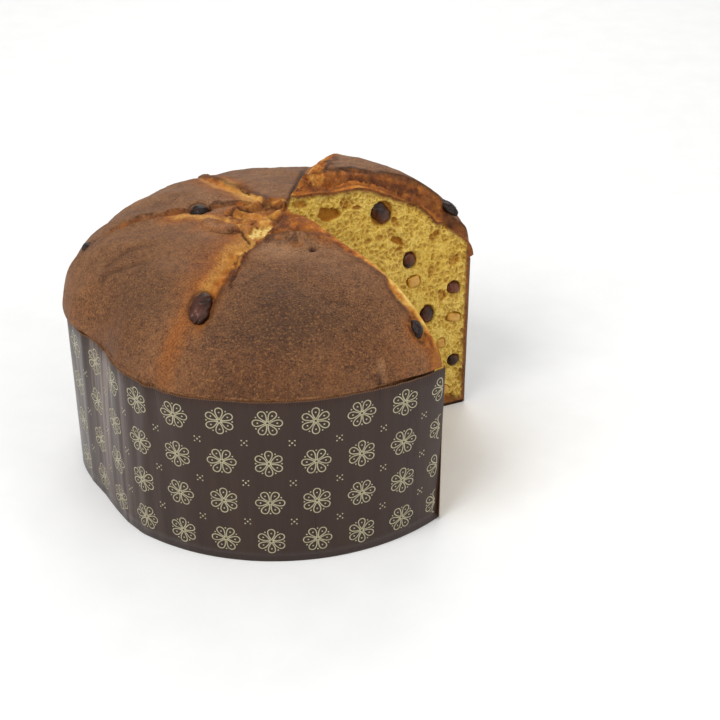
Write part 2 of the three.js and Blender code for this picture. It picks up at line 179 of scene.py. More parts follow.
floor_mesh = bpy.data.meshes.new("floor")
half = FLOOR_SIDE / 2
floor_mesh.from_pydata([(-half, -half, 0), (half, -half, 0), (half, half, 0), (-half, half, 0)],
                       [], [(0, 1, 2, 3)])
floor = bpy.data.objects.new("floor", floor_mesh)
bpy.context.scene.collection.objects.link(floor)
floor_paper, tree, shader, place = start_material("floor_paper")
grain = noise(tree, place, 40.0)
sheet = blend(tree, remap(tree, grain, 0.3, 0.7), paint(*FLOOR_COLOUR), paint(*FLOOR_FIBRE_COLOUR))
tree.links.new(sheet, shader.inputs["Base Color"])
shader.inputs["Roughness"].default_value = 0.8
floor.data.materials.append(floor_paper)


# The loaf's crust. A low dome of sweet, enriched dough that was scored with a cross before
# it was baked: thin brown skin, torn open along the cross, over a side and a foot that the
# case hides.
GAP_TIP = np.array([4.0, -4.0])
NEAR_CUT = math.radians(-48.0)
FAR_CUT = math.radians(21.0)
CLEARANCE = 0.3
CASE_WALL = 0.9
CASE_FLOOR = 1.5
DOME_RISE = 44.3
DOME_ROUNDNESS = 2.89
DOME_FLATNESS = 1.91
OVERHANG_RISE = 1.4
FOOT_TAPER = 0.4
BOTTOM_BEVEL = 2.5
FLAT_AZIMUTH = -152.0
FLAT_SPREAD = 14.0
FLAT_DEPTH = 0.043
CRUST_ROWS = 236
CRUST_COLUMNS = 370

case_low, case_high = (np.array(corner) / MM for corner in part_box("paper_case"))
loaf_low, loaf_high = (np.array(corner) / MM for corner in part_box("loaf"))
case_radius = (case_high[1] - case_low[1]) / 2
case_height = case_high[2]
foot_radius = case_radius - FOOT_TAPER
dome_radius = (loaf_high[1] - loaf_low[1]) / 2

# Tears: plan route from the middle outwards, half width, depth, lip (above zero on the
# left), and how brown the bread in them is
TEARS = [
    ([(-6, -15), (-13, -28), (-19, -39), (-25, -53), (-30, -63), (-34, -74), (-40, -92)],
     6.0, 3.5, 1.0, 0.15),
    ([(-14, 10), (-30, 10), (-49, 6), (-69, 7), (-98, 6)], 1.15, 2.6, -2.0, 0.85),
    ([(-10, 14), (-20, 28), (-28, 36), (-36, 50), (-42, 66)], 4.0, 1.8, -0.7, 0.2),
]
# Golden streaks where the skin was stretched thin: plan route, half width, strength
STREAKS = [
    ([(-24, -50), (-34, -64), (-43, -78), (-50, -88), (-60, -99)], 5.5, 0.42),
    ([(-12, -6), (-30, -4), (-44, 2), (-62, 4)], 5.5, 0.9),
    ([(-12, 1), (-14, 14), (-19, 26), (-27, 40), (-34, 52)], 6.0, 0.95),
]
# Measure of bread that the oven didn't brown
FRESH = -0.6
# Ovals, by plan place, half sizes and turn in degrees: bright bread, the stretched middle, a
# tongue of whole skin that reaches into it, the wrinkled hem at the top of the front
# quarter, and the craggy ends of the skin beside the gap's tip
YELLOW_PATCHES = [(-8.0, -15.5, 10.0, 5.0, 57.0)]
MIDDLE = (-10.0, -4.0, 26.0, 15.0, 25.0)
TONGUE = (-27.0, -14.5, 11.0, 6.0, -30.0)
HEM = (5.0, -30.5, 17.0, 6.0, -5.0)
CRAGS = (-2.0, 9.0, 8.0, 6.0, 0.0)
# Skin baked darkest, and below zero palest: plan place, spread across and along, strength. The
# three pale patches over the back quarters are painted light from above and behind, and the small
# pale spot on the covered raisin's bump is a painted highlight.
TONE_AND_LIGHT_PATCHES = [
    (2.0, -88.0, 38.0, 24.0, 1.0), (-64.0, -62.0, 26.0, 22.0, 0.6),
    (-8.0, -106.0, 50.0, 13.0, 1.0), (-27.0, -14.5, 11.0, 8.0, -1.0),
    (-32.0, 0.0, 12.0, 7.0, -1.0), (45.0, -94.5, 2.6, 2.0, -0.8),
    (2.0, -38.0, 22.0, 9.0, -0.6), (-22.0, 6.0, 20.0, 16.0, -0.7),
    (-8.0, 44.0, 20.0, 40.0, -0.3), (44.0, 52.0, 26.0, 30.0, -0.3),
    (-60.0, 40.0, 30.0, 30.0, -0.25),
]
# Small bumps, above zero, and pits in the skin, which are painted darker as shade: plan place,
# height, half width
BUMPS = [
    (44.0, -93.0, 2.2, 5.0), (40.0, 41.0, 0.7, 4.0), (16.0, -38.0, -2.4, 2.0),
    (22.0, -33.0, 0.9, 3.0), (8.0, -30.0, 0.8, 3.0), (44.5, -97.0, -0.8, 1.6),
    (-70.0, -20.0, 0.9, 9.0), (-12.0, -60.0, 0.7, 10.0), (-38.0, 8.0, -2.0, 4.5),
    (-41.0, 16.0, 1.6, 5.0),
]
# Hollows round the raisins that lie bare: plan place, depth, half width, how dark their painted
# shade is
POCKETS = [(88.0, 34.0, 2.6, 6.5, 0.0), (90.0, 30.5, 1.8, 3.2, 1.2), (-34.0, -77.0, 1.2, 4.5, 0.0)]
# Cracks, painted darker as shade: plan route, half width, depth
CRACKS = [
    ([(-10, -36), (-14, -43), (-18, -50), (-20, -60), (-23, -70)], 0.8, 1.8),
    ([(-15, -37), (-19, -44), (-22, -51), (-24, -60)], 0.6, 1.0),
    ([(-25, -1), (-21, 6), (-15, 7), (-11, 5)], 0.7, 1.2),
    ([(-9, 12), (-3, 10), (1, 7), (4, 3)], 0.9, 1.6),
    ([(-19, 33), (-16, 27), (-12, 22)], 0.5, 0.9),
    ([(-5, 1), (-1, -4), (1, -10)], 0.9, 1.6),
    ([(-25, -22), (-18, -21), (-15, -25), (-12, -30)], 0.8, 1.4),
    ([(58, -70), (64, -74), (68, -80)], 0.7, 1.0),
    ([(14, 10), (20, 16), (26, 18), (38, 20), (50, 26)], 0.8, 1.2),
    ([(30, 12), (44, 18), (60, 22), (76, 30)], 0.7, 1.0),
]
# Width of bare bread along the cuts, by distance from the gap's tip
FAR_BAND = [(0, 9.0), (15, 12.0), (40, 12.5), (60, 10.0), (80, 8.0), (95, 3.0)]
NEAR_BAND = [
    (0, 18.0), (11, 17.0), (17, 10.0), (23, 6.0), (30, 4.8), (45, 4.5), (52, 3.0),
    (60, 2.0), (68, 2.0), (74, 4.4), (86, 5.6), (90, 8.5), (94, 8.5), (98, 4.0),
]
# Where the near cut's bread is palest: distance from the gap's tip, spread
PALE_RIDGE = (80.0, 7.0)
# Depth of the bare bread under the skin along the far cut, by the same distance
FAR_DEPTH = [(0, 5.0), (12, 7.0), (38, 5.3), (53, 7.7), (71, 9.0), (84, 11.0), (95, 8.0)]
# Soft creases in the skin, painted a little darker as shade: plan route, half width and depth
CREASES = [
    ([(-91, -37), (-83, -31), (-76, -33), (-59, -38)], 2.2, 0.8),
    ([(-88, -26), (-72, -22), (-55, -24)], 2.5, 0.5),
    ([(60, -60), (70, -66), (78, -72)], 1.6, 0.6),
]
# Places where the rim is pressed in or stands out: azimuth in degrees, push, half width
RIM_SHIFTS = [(-148.0, -2.6, 8.0), (-116.0, 2.2, 9.0)]
# In front the lip sits inside the paper: inset, where it starts and ends, in degrees, and a
# hollow by azimuth, depth and half width
LIP_INSET = 2.3
LIP_START = (-166.0, -150.0)
LIP_END = (-62.0, -50.0)
LIP_HOLLOW = (-134.0, 1.2, 12.0)
# Beside the near cut the case springs off the loaf, and the loaf's lip follows a little;
# the springing grows between two azimuths
FLARE_AZIMUTHS = (-70.0, -46.5)
LOAF_FLARE = 1.8
# The higher far quarter, and how wide its torn flank is from the crack to the skin
SWELL_RISE = 13.5
SWELL_RADIUS = 34.0
SWELL_SPREAD = 60.0
CRACK_AZIMUTH = math.radians(80.0)
FLANK_WIDTH = 16.0
# The relief follows the dome's slope up to this, and the cuts' edges are set straight over
# this distance
STEEPEST = 6.0
STRAIGHTEN_REACH = 6.0


def ease(value, low, high):
    """0 below low, 1 above high, and the smooth step s*s*(3-2s) between."""
    share = np.clip((value - low) / (high - low), 0.0, 1.0)
    return share * share * (3.0 - 2.0 * share)


def gauss(value):
    """The bell exp(-v*v)."""
    return np.exp(-value * value)


def lattice_draw(i, j, seed):
    """An even draw from 0 to 1 for each whole-number cell: the fraction of a large sine."""
    return np.modf(np.abs(np.sin(i * 127.1 + j * 311.7 + seed * 74.7) * 43758.5453))[0]


def smooth_noise(x, y, scale, seed):
    """Noise from -1 to 1: the draws at a square's corners, blended by s*s*(3-2s)."""
    x, y = x / scale, y / scale
    i, j = np.floor(x), np.floor(y)
    u, v = ease(x - i, 0.0, 1.0), ease(y - j, 0.0, 1.0)
    low = lattice_draw(i, j, seed) * (1 - u) + lattice_draw(i + 1, j, seed) * u
    high = lattice_draw(i, j + 1, seed) * (1 - u) + lattice_draw(i + 1, j + 1, seed) * u
    return 2.0 * (low * (1 - v) + high * v) - 1.0


def fractal(x, y, scale, seed, octaves=3):
    """Octaves of smooth noise, each half as wide and half as high as the one before."""
    total = sum(0.5**k * smooth_noise(x, y, scale * 0.5**k, seed + 5 * k) for k in range(octaves))
    return total / (2.0 - 0.5 ** (octaves - 1))


def foam(x, y, size, seed):
    """Cells of a foam: distances to the nearest and the next cell's middle in cell sizes,
    and a draw for the nearest cell."""
    x, y = x / size, y / size
    i, j = np.floor(x), np.floor(y)
    first = np.full(x.shape, 9.0)
    second = first.copy()
    draw = np.zeros(x.shape)
    for a in (-1, 0, 1):
        for b in (-1, 0, 1):
            across = i + a + 0.1 + 0.8 * lattice_draw(i + a, j + b, seed)
            up = j + b + 0.1 + 0.8 * lattice_draw(i + a, j + b, seed + 17)
            reach = np.hypot(x - across, y - up)
            nearer = reach < first
            second = np.where(nearer, first, np.minimum(second, reach))
            draw = np.where(nearer, lattice_draw(i + a, j + b, seed + 31), draw)
            first = np.where(nearer, reach, first)
    return first, second, draw


def beside_route(route, x, y):
    """Signed distance to a plan route, above zero on its left, and the share of it run."""
    nearest = np.full(x.shape, np.inf)
    signed = np.zeros(x.shape)
    run = np.zeros(x.shape)
    legs = len(route) - 1
    for leg in range(legs):
        (ax, ay), (bx, by) = route[leg], route[leg + 1]
        dx, dy = bx - ax, by - ay
        share = np.clip(((x - ax) * dx + (y - ay) * dy) / (dx * dx + dy * dy), 0.0, 1.0)
        off_x, off_y = x - ax - share * dx, y - ay - share * dy
        distance = np.hypot(off_x, off_y)
        closer = distance < nearest
        side = np.where(dx * off_y - dy * off_x < 0, -1.0, 1.0)
        nearest = np.where(closer, distance, nearest)
        signed = np.where(closer, side * distance, signed)
        run = np.where(closer, (leg + share) / legs, run)
    return signed, run


def behind_cut(cut, kept, x, y):
    """Distance from a cut's upright plane into the bread."""
    return kept * (-(x - GAP_TIP[0]) * math.sin(cut) + (y - GAP_TIP[1]) * math.cos(cut))


def wound(degrees):
    """The same angle between -180 and 180 degrees."""
    return (degrees + 180.0) % 360.0 - 180.0


def plan_scale(azimuth):
    """Share of the round radius at an azimuth in radians: one side is pressed flat."""
    return 1.0 - FLAT_DEPTH * gauss(wound(np.degrees(azimuth) - FLAT_AZIMUTH) / FLAT_SPREAD)


def rim_shift(azimuth):
    """Outward shift of the rim in millimetres at an azimuth in radians, as bells."""
    degrees = np.degrees(azimuth)
    return sum(push * gauss(wound(degrees - place_at) / half_width)
               for place_at, push, half_width in RIM_SHIFTS)


def lip_shift(azimuth):
    """Shift of the loaf's lip against the paper's, in millimetres, inwards below zero."""
    degrees = wound(np.degrees(azimuth))
    place_at, depth, half_width = LIP_HOLLOW
    inset = LIP_INSET * ease(degrees, *LIP_START) * (1.0 - ease(degrees, *LIP_END))
    return -inset - depth * gauss((degrees - place_at) / half_width)


def flare(azimuth):
    """Share of the full flare at an azimuth in radians."""
    degrees = wound(np.degrees(azimuth))
    return ease(degrees, *FLARE_AZIMUTHS) * (degrees < 0.0)


def in_oval(x, y, oval):
    """How far out places lie in an oval, 1 on its rim, and their distance along its length.
    The oval is given by its place, half sizes and turn in degrees."""
    at_x, at_y, half_x, half_y, degrees = oval
    turn = math.radians(degrees)
    along = (x - at_x) * math.cos(turn) + (y - at_y) * math.sin(turn)
    across = -(x - at_x) * math.sin(turn) + (y - at_y) * math.cos(turn)
    return np.hypot(along / half_x, across / half_y), along


def dome_height(radius):
    """Height of the plain dome: H + h (1 - (r/R)^n)^(1/m)."""
    share = np.clip(radius / dome_radius, 0.0, 1.0) ** DOME_ROUNDNESS
    return case_height + DOME_RISE * (1.0 - share) ** (1.0 / DOME_FLATNESS)


def fruit_frame(node):
    """Middle, axes and half sizes of a raisin's solid, in millimetres, from the spread of
    its corners."""
    corners = np.empty(len(node.data.vertices) * 3)
    node.data.vertices.foreach_get("co", corners)
    corners = corners.reshape(-1, 3) / MM
    middle = (corners.max(0) + corners.min(0)) / 2
    _, axes = np.linalg.eigh(np.cov((corners - middle).T))
    if np.linalg.det(axes) < 0:
        axes[:, 0] *= -1
    local = (corners - middle) @ axes
    return middle, axes, np.abs(local).max(0)


CRUST_RAISINS = ["raisin_01", "raisin_02", "raisin_03", "raisin_05"]
crust_fruit = [fruit_frame(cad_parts[name]) for name in CRUST_RAISINS]


class Crust:
    """The crust at plan places: relief over the plain dome in millimetres, and five looks.
    torn is 1 where bread shows, bake how brown that bread is, edge how dark the skin's edge
    is, together with painted shade in cracks, creases, pits, crevices and hollows, warm how
    orange the skin is, and deep how dark it was baked, below 0 where it's pale, with painted
    light over the back quarters and a painted highlight on one bump."""

    def __init__(self, x, y):
        self.x = x
        self.y = y
        self.radius = np.hypot(x, y)
        self.out = self.radius / dome_radius
        self.far = behind_cut(FAR_CUT, 1.0, x, y)
        self.near = behind_cut(NEAR_CUT, -1.0, x, y)
        self.rough = fractal(x, y, 6.0, 3)
        self.fine = fractal(x, y, 2.4, 21)
        self.crag = 0.55 - 1.6 * np.abs(fractal(x, y, 5.0, 27))
        self.relief = 0.9 * np.sin(x / 17 + 1) * np.cos(y / 14) + 0.5 * np.sin((x + 2 * y) / 9)
        self.torn = np.zeros(x.shape)
        self.bake = np.zeros(x.shape)
        self.edge = np.zeros(x.shape)
        self.warm = np.zeros(x.shape)
        self.deep = np.zeros(x.shape)

    def open_up(self, share, brown):
        """Lays bread bare by a share, as brown as given."""
        self.bake = np.where(share > self.torn, brown, self.bake)
        self.torn = np.maximum(self.torn, share)

    def darken_edges_and_shade(self, share):
        """Makes the skin's edge, and the painted shade in cracks, creases, pits, crevices and
        hollows, at least as dark as given.
        """
        self.edge = np.maximum(self.edge, share)

    def redden(self, share):
        """Makes the skin at least as orange as given."""
        self.warm = np.maximum(self.warm, share)


def tear_cross(crust):
    """The scored cross. Each tear is a ragged bed of bread with a raised lip and a dark edge
    on one side and warm, stretched skin round it. Returns the little cracks that line the
    widest tear on the front quarter's side."""
    x, y = crust.x, crust.y
    for number, (route, half_width, depth, lip, brown) in enumerate(TEARS):
        distance, run = beside_route(route, x, y)
        ragged = distance + 1.8 * fractal(x, y, 7.0, 40 + number) + 0.5 * crust.fine
        width = half_width * (1.0 - 0.5 * run)
        fade = 1.0 - ease(run, 0.7, 1.0)
        patchy = ease(fractal(x, y, 9.0, 50 + number), -0.5 - 0.3 * (brown < 0.3), 0.1)
        side = math.copysign(1.0, lip) * ragged
        opened = fade * (1.0 - ease(side, 0.85 * width, 1.05 * width))
        opened = opened * ease(side, -0.5 * width, 0.25 * width)
        raised = abs(lip) * fade * ease(run, 0.02, 0.25)
        crust.relief += raised * gauss((side - 2.0 * width) / (1.4 * width))
        crust.relief -= depth * (0.6 * fade * gauss(distance / width) + 0.4 * opened)
        crust.open_up(opened * patchy, brown + 0.5 * ease(run, 0.1, 0.8))
        crust.darken_edges_and_shade(0.8 * fade * gauss((side - 1.35 * width) / (0.45 * width)))
        spread = np.where(side > 0, 1.5, 3.3 - 1.8 * brown) * width
        glow = 0.55 * gauss(distance / spread) + 0.45 * gauss((side + 0.3 * width) / (0.9 * width))
        crust.redden((1.0 - 0.72 * brown) * (1.0 - ease(run, 0.75, 1.0)) * glow)
    for route, half_width, strength in STREAKS:
        distance, run = beside_route(route, x, y)
        reach = (distance + 1.2 * crust.rough) / half_width
        crust.redden(strength * gauss(reach) * ease(run, 0.0, 0.2) * (1 - ease(run, 0.7, 1)))
    distance, run = beside_route(TEARS[0][0], x, y)
    strip = gauss((distance - 4.2) / 3.4) * ease(run, 0.0, 0.15) * (1.0 - ease(run, 0.55, 0.85))
    crust.open_up(0.9 * strip * ease(fractal(x, y, 4.0, 96), -0.6, 0.0), 0.75 + 0.5 * crust.fine)
    return strip * gauss(fractal(x + 0.5 * y, 0.6 * y, 2.8, 95, 2) / 0.17)


def stretch_middle(crust):
    """The middle, where the scored cuts met: stretched skin in low folds with rents, bread
    where it gave way, the tongue of whole skin, the wrinkled hem of the front quarter, the
    bright patches, and the skin's craggy ends beside the gap's tip."""
    x, y = crust.x, crust.y
    middle = in_oval(x, y, MIDDLE)[0] + 0.24 * fractal(x, y, 11.0, 9)
    inside = (1.0 - ease(middle, 0.7, 1.05)) * (1.0 - ease(x, -2.0, 4.0))
    folds = np.sin((y + 0.2 * x + 2.5 * fractal(x, y, 12.0, 15)) / 1.25)
    crust.relief += inside * (0.65 * folds - 3.5)
    bare = (1.0 - ease(middle, 0.75, 0.95)) * ease(fractal(x, y, 6.0, 12), -0.1, 0.35)
    crust.open_up(0.85 * bare, 0.34 + 0.5 * fractal(x, y, 4.0, 14))
    crust.warm = crust.warm * (1.0 - 0.3 * inside)
    crust.redden((0.56 + 0.3 * crust.rough) * gauss(np.maximum(middle - 0.8, 0.0) / 0.35))
    patchy = ease(fractal(x, y, 7.0, 18), -0.1, 0.5)
    crust.darken_edges_and_shade(0.42 * inside * ease(folds, 0.5, 1.0) * patchy)
    reach, along = in_oval(x, y, TONGUE)
    reach = reach + 0.08 * crust.rough
    tongue = 1.0 - ease(reach, 0.75, 1.05)
    crust.torn = crust.torn * (1.0 - tongue)
    crust.warm = crust.warm * (1.0 - 0.35 * tongue)
    crust.relief += 2.6 * tongue
    crust.darken_edges_and_shade(0.9 * gauss((reach - 1.05) / 0.07) * ease(along, -7.0, 2.0))
    rents = inside * (1.0 - tongue) * gauss(fractal(0.5 * x, y, 3.6, 97, 2) / 0.13)
    rents = rents * ease(fractal(x, y, 8.0, 98), -0.1, 0.3)
    # Painted shade: the rents are painted darker where they sink.
    crust.relief -= rents
    crust.darken_edges_and_shade(0.85 * rents)
    hem = gauss(in_oval(x, y, HEM)[0] ** 2)
    crust.relief += hem * (0.8 + 3.2 * fractal(x, y, 5.0, 99))
    crust.darken_edges_and_shade(0.7 * hem * ease(fractal(x, y, 4.0, 94), -0.15, 0.3))
    crust.redden(0.3 * hem * ease(fractal(x, y, 5.0, 17), -0.1, 0.3))
    for oval in YELLOW_PATCHES:
        patch = 1.0 - ease(in_oval(x, y, oval)[0] + 0.3 * crust.fine, 0.75, 1.1)
        crust.torn = np.maximum(crust.torn, patch)
        crust.bake = crust.bake * (1.0 - patch) + FRESH * patch
        crust.edge = crust.edge * (1.0 - patch)
        crust.relief -= 1.2 * patch
    crags = gauss(in_oval(x, y, CRAGS)[0] ** 2)
    crust.open_up(0.8 * crags * ease(crust.fine, -0.3, 0.2), 0.75 + 0.4 * crust.rough)
    crust.relief += 1.4 * crags * crust.crag
    # Painted shade in the crags' crevices, darkest where they sink lowest.
    crust.darken_edges_and_shade(0.7 * crags * ease(crust.crag, -0.1, -0.6))


def bare_cuts(crust):
    """Bare bread along both cuts, down to a ledge and in layers along the far one, with a
    fold of skin over its start along the near one; warm or dark skin edges it. The grooves
    between the layers, the ledge's step and the fold are painted darker as shade."""
    x, y, far, near = crust.x, crust.y, crust.far, crust.near
    far_run = (x - GAP_TIP[0]) * math.cos(FAR_CUT) + (y - GAP_TIP[1]) * math.sin(FAR_CUT)
    near_run = (x - GAP_TIP[0]) * math.cos(NEAR_CUT) + (y - GAP_TIP[1]) * math.sin(NEAR_CUT)
    wander = 2.6 * fractal(x, y, 8.0, 77) + 0.8 * crust.fine
    # How wide the bare bread is, and where it lies
    far_side = ease(far_run, -3.0, 1.0) * ease(far, -4.0, -1.0)
    far_width = np.interp(far_run, *zip(*FAR_BAND))
    far_band = far_side * (1.0 - ease(far + wander, far_width - 1.8, far_width))
    ledge = far_side * (1.0 - ease(far + 0.7 * wander, far_width - 6.5, far_width - 5.0))
    near_side = ease(near_run, -6.0, 2.0) * ease(near, -4.0, -1.0) * (1.0 - far_side)
    near_width = np.interp(near_run, *zip(*NEAR_BAND))
    near_edge = near + 0.5 * wander
    near_band = near_side * (1.0 - ease(near_edge, near_width - 1.5, near_width + 0.5))
    # How deep it lies
    sink = far_side * np.interp(far_run, *zip(*FAR_DEPTH))
    far_slope = 1.0 - ease(far, 0.0, far_width)
    crust.relief -= sink * (0.4 * far_slope + 0.35 * far_band)
    crust.relief -= sink * 0.25 * ledge
    bulge = 3.0 * near_side * gauss((near_run - 16.0) / 13.0)
    crust.relief += bulge * (1.0 - ease(near, 2.0, 12.0))
    crust.relief -= near_band * ease(near_run, 30.0, 45.0)
    # How brown it is, paler at the knife's edge and, beyond the far cut, near the gap's tip
    far_brown = 0.95 - 0.25 * gauss(far / 1.5) - 0.45 * gauss(far_run / 12.0)
    crust.open_up(0.9 * far_band, far_brown + 0.6 * fractal(x, y, 5.0, 79))
    layers = far_band * np.sin(2.1 * far + 3.0 * fractal(x, y, 10.0, 83))
    crust.relief += 0.5 * layers + 1.1 * far_band * crust.crag * ease(far, 0.5, 3.0)
    # Painted shade in the grooves between the layers.
    crust.darken_edges_and_shade(0.75 * ease(-layers, 0.3, 1.0) * ease(fractal(x, y, 8.0, 85), -0.1, 0.4))
    fold = near_side * gauss(near_edge - near_width - 0.6) * (1.0 - ease(near_run, 16.0, 30.0))
    crust.relief -= 1.6 * fold
    # Painted shade in the fold of skin.
    crust.darken_edges_and_shade(0.9 * fold)
    lighter = 0.15 + 0.5 * ease(near_run, 38.0, 58.0)
    near_brown = 0.9 - lighter * (0.4 + gauss(near / 1.6)) + 0.5 * fractal(x, y, 4.0, 81)
    ridge_at, ridge_spread = PALE_RIDGE
    crust.open_up(near_band, near_brown - 0.7 * gauss((near_run - ridge_at) / ridge_spread))
    # The skin beside it; its dark edge along the far band is partly painted shade at the step
    crust.darken_edges_and_shade(far_side * gauss((far + wander - far_width - 0.4) / 1.3))
    # Painted shade along the ledge's step.
    crust.darken_edges_and_shade(0.6 * far_side * gauss((far + 0.7 * wander - far_width + 5.2) / 0.9))
    crust.redden(0.35 * far_side * gauss(np.maximum(far, 0.0) / 11.0))
    dark_side = near_side * ease(near_run, 32.0, 45.0) * (1.0 - ease(near_run, 85.0, 91.0))
    away = gauss(np.maximum(near - near_width, 0.0) / 4.0)
    crust.redden(0.5 * (near_side - 0.85 * dark_side) * away)
    crust.darken_edges_and_shade(0.5 * dark_side * gauss((near_edge - near_width - 1.3) / 1.2))


def raise_far_quarter(crust):
    """The quarter behind the gap rose higher, beyond a crack: a swell, whose flank towards the
    crack is torn bread between a foot painted dark as the crack's shade and a raised hem of skin."""
    x, y, far, radius = crust.x, crust.y, crust.far, crust.radius
    right = (x - GAP_TIP[0]) * math.sin(CRACK_AZIMUTH) - (y - GAP_TIP[1]) * math.cos(CRACK_AZIMUTH)
    swell = ease(right, -1.5, 3.0 + 0.5 * np.clip(far, 0.0, 30.0)) * ease(far, -4.0, 0.0)
    falling = gauss(np.maximum(radius - SWELL_RADIUS, 0.0) / SWELL_SPREAD)
    crust.relief += SWELL_RISE * swell * falling
    skin_edge = right + 3.0 * crust.rough - FLANK_WIDTH
    flank = gauss(np.minimum(right - 5.0, 0.0) / 3.0) * (1.0 - ease(skin_edge, -1.0, 1.5))
    lip = gauss(skin_edge - 1.0) * ease(far, 6.0, 12.0) * (1.0 - ease(radius, 46.0, 60.0))
    crust.darken_edges_and_shade(0.8 * lip)
    crust.relief += 0.8 * lip
    flank *= ease(far, 2.0, 6.0) * (1.0 - ease(radius, 52.0, 74.0))
    brown = 0.42 + 0.35 * ease(right, 9.0, 15.0) + 0.8 * fractal(x, y, 3.6, 93)
    crust.open_up(0.95 * flank * ease(fractal(x, y, 6.0, 91), -0.9, -0.3), brown)
    crust.relief += 1.3 * flank * crust.crag
    crust.redden(0.6 * flank)
    # Painted shade in the crack along the swell's foot.
    foot = gauss((right + 0.6 + 0.8 * crust.rough) / 1.2)
    foot = foot * ease(far, 1.0, 6.0) * (1.0 - ease(radius, 60.0, 85.0))
    crust.darken_edges_and_shade(foot)
    crust.relief -= 1.2 * foot


def mark_skin(crust, little_cracks):
    """Creases, bumps, pits, pockets and cracks, all as bells round their routes or places; the
    creases, pits, pockets and cracks are painted darker as shade.
    """
    x, y = crust.x, crust.y
    for route, half_width, depth in CREASES:
        distance, run = beside_route(route, x, y)
        crease = gauss(distance / half_width) * ease(run, 0.0, 0.2) * (1.0 - ease(run, 0.8, 1.0))
        crust.relief -= depth * crease
        # Painted shade in the crease.
        crust.darken_edges_and_shade(0.45 * crease)
    for at_x, at_y, rise, half_width in BUMPS:
        bump = gauss(np.hypot(x - at_x, y - at_y) / half_width)
        crust.relief += rise * bump
        # Painted shade in the pits.
        if rise < 0:
            crust.darken_edges_and_shade(1.3 * bump)
    for at_x, at_y, depth, half_width, shade in POCKETS:
        hollow = gauss(np.hypot(x - at_x, y - at_y) / half_width)
        crust.relief -= depth * hollow
        # Painted shade in the hollow.
        crust.darken_edges_and_shade(shade * hollow)
    # Painted shade in the little cracks along the widest tear.
    crust.relief -= 1.2 * little_cracks
    crust.darken_edges_and_shade(little_cracks)
    for route, half_width, depth in CRACKS:
        distance, run = beside_route(route, x, y)
        ends = ease(run, 0.0, 0.15) * (1.0 - ease(run, 0.85, 1.0))
        crack = ends * gauss((distance + 1.3 * crust.fine + crust.rough) / half_width)
        crust.relief -= depth * crack
        # Painted shade in the crack.
        crust.darken_edges_and_shade(1.1 * crack)


def crust_looks(x, y):
    """The crust's relief in millimetres at plan places, and its looks by name."""
    crust = Crust(x, y)
    little_cracks = tear_cross(crust)
    stretch_middle(crust)
    bare_cuts(crust)
    raise_far_quarter(crust)
    mark_skin(crust, little_cracks)
    # All of it dies away towards the rim
    crust.relief *= 1.0 - ease(crust.out, 0.94, 1.0)
    crust.torn = crust.torn * (1.0 - ease(crust.out, 0.95, 1.0))
    # Torn bread is shaggy, skin is only a little uneven and has fine pits
    inland = ease(np.maximum(crust.far, crust.near), 0.0, 3.0)
    crust.relief += crust.torn * (0.8 * crust.rough + 0.6 * crust.fine + 0.9 * crust.crag) * inland
    uneven = 0.35 * crust.rough + 0.12 * fractal(x, y, 2.0, 23)
    crust.relief += (1.0 - crust.torn) * (uneven + 0.7 * crust.warm * fractal(x, y, 4.5, 33))
    first, _, draw = foam(x, y, 3.2, 61)
    crust.relief -= 0.25 * (draw > 0.8) * (1.0 - ease(first, 0.1, 0.3))
    crust.redden((0.06 + 0.08 * crust.rough) * ease(crust.out, 0.84, 0.97))
    # Baked tone, with painted light over the back quarters and a painted highlight on one bump.
    for at_x, at_y, across, along, strength in TONE_AND_LIGHT_PATCHES:
        shade = strength * gauss((x - at_x) / across) * gauss((y - at_y) / along)
        crust.deep = np.where(np.abs(shade) > np.abs(crust.deep), shade, crust.deep)
    crust.deep = crust.deep + 0.22 * fractal(x, y, 22.0, 35) + 0.12 * crust.rough
    crust.deep = np.clip(crust.deep, -1.0, 1.0)
    # The skin is drawn in round each raisin, and a ring of painted shade lies where it meets the
    # raisin
    for middle, axes, half in crust_fruit:
        local = np.stack([x - middle[0], y - middle[1]], -1) @ axes[:2]
        reach = np.sqrt(np.sum((local / (half + 0.6)) ** 2, -1))
        crust.darken_edges_and_shade(gauss((reach - 1.0) / 0.14))
        crust.relief -= 0.8 * gauss((reach - 1.05) / 0.22) * (middle[0] < 0.0)
    crust.bake = np.clip(crust.bake, FRESH, 1.0)
    looks = {"torn": crust.torn, "bake": crust.bake, "edge": crust.edge, "warm": crust.warm,
             "deep": crust.deep}
    return crust.relief, looks


def azimuth_of_cut(cut, radius):
    """Azimuth at which a circle of that radius round the loaf meets a cut."""
    along = GAP_TIP @ np.array([math.cos(cut), math.sin(cut)])
    reach = -along + math.sqrt(along * along + radius * radius - GAP_TIP @ GAP_TIP)
    return math.atan2(GAP_TIP[1] + reach * math.sin(cut), GAP_TIP[0] + reach * math.cos(cut))


def even_shares(rows):
    """Shares of the radius that lie at even steps along the dome's profile."""
    turn = np.linspace(0.0, math.pi / 2, 4000)
    share = np.sin(turn) ** (2 / DOME_ROUNDNESS)
    height = DOME_RISE * np.cos(turn) ** (2 / DOME_FLATNESS)
    steps = np.hypot(np.diff(share * dome_radius), np.diff(height))
    run = np.concatenate([[0.0], np.cumsum(steps)])
    return np.interp(np.linspace(0.0, run[-1], rows), run, share)


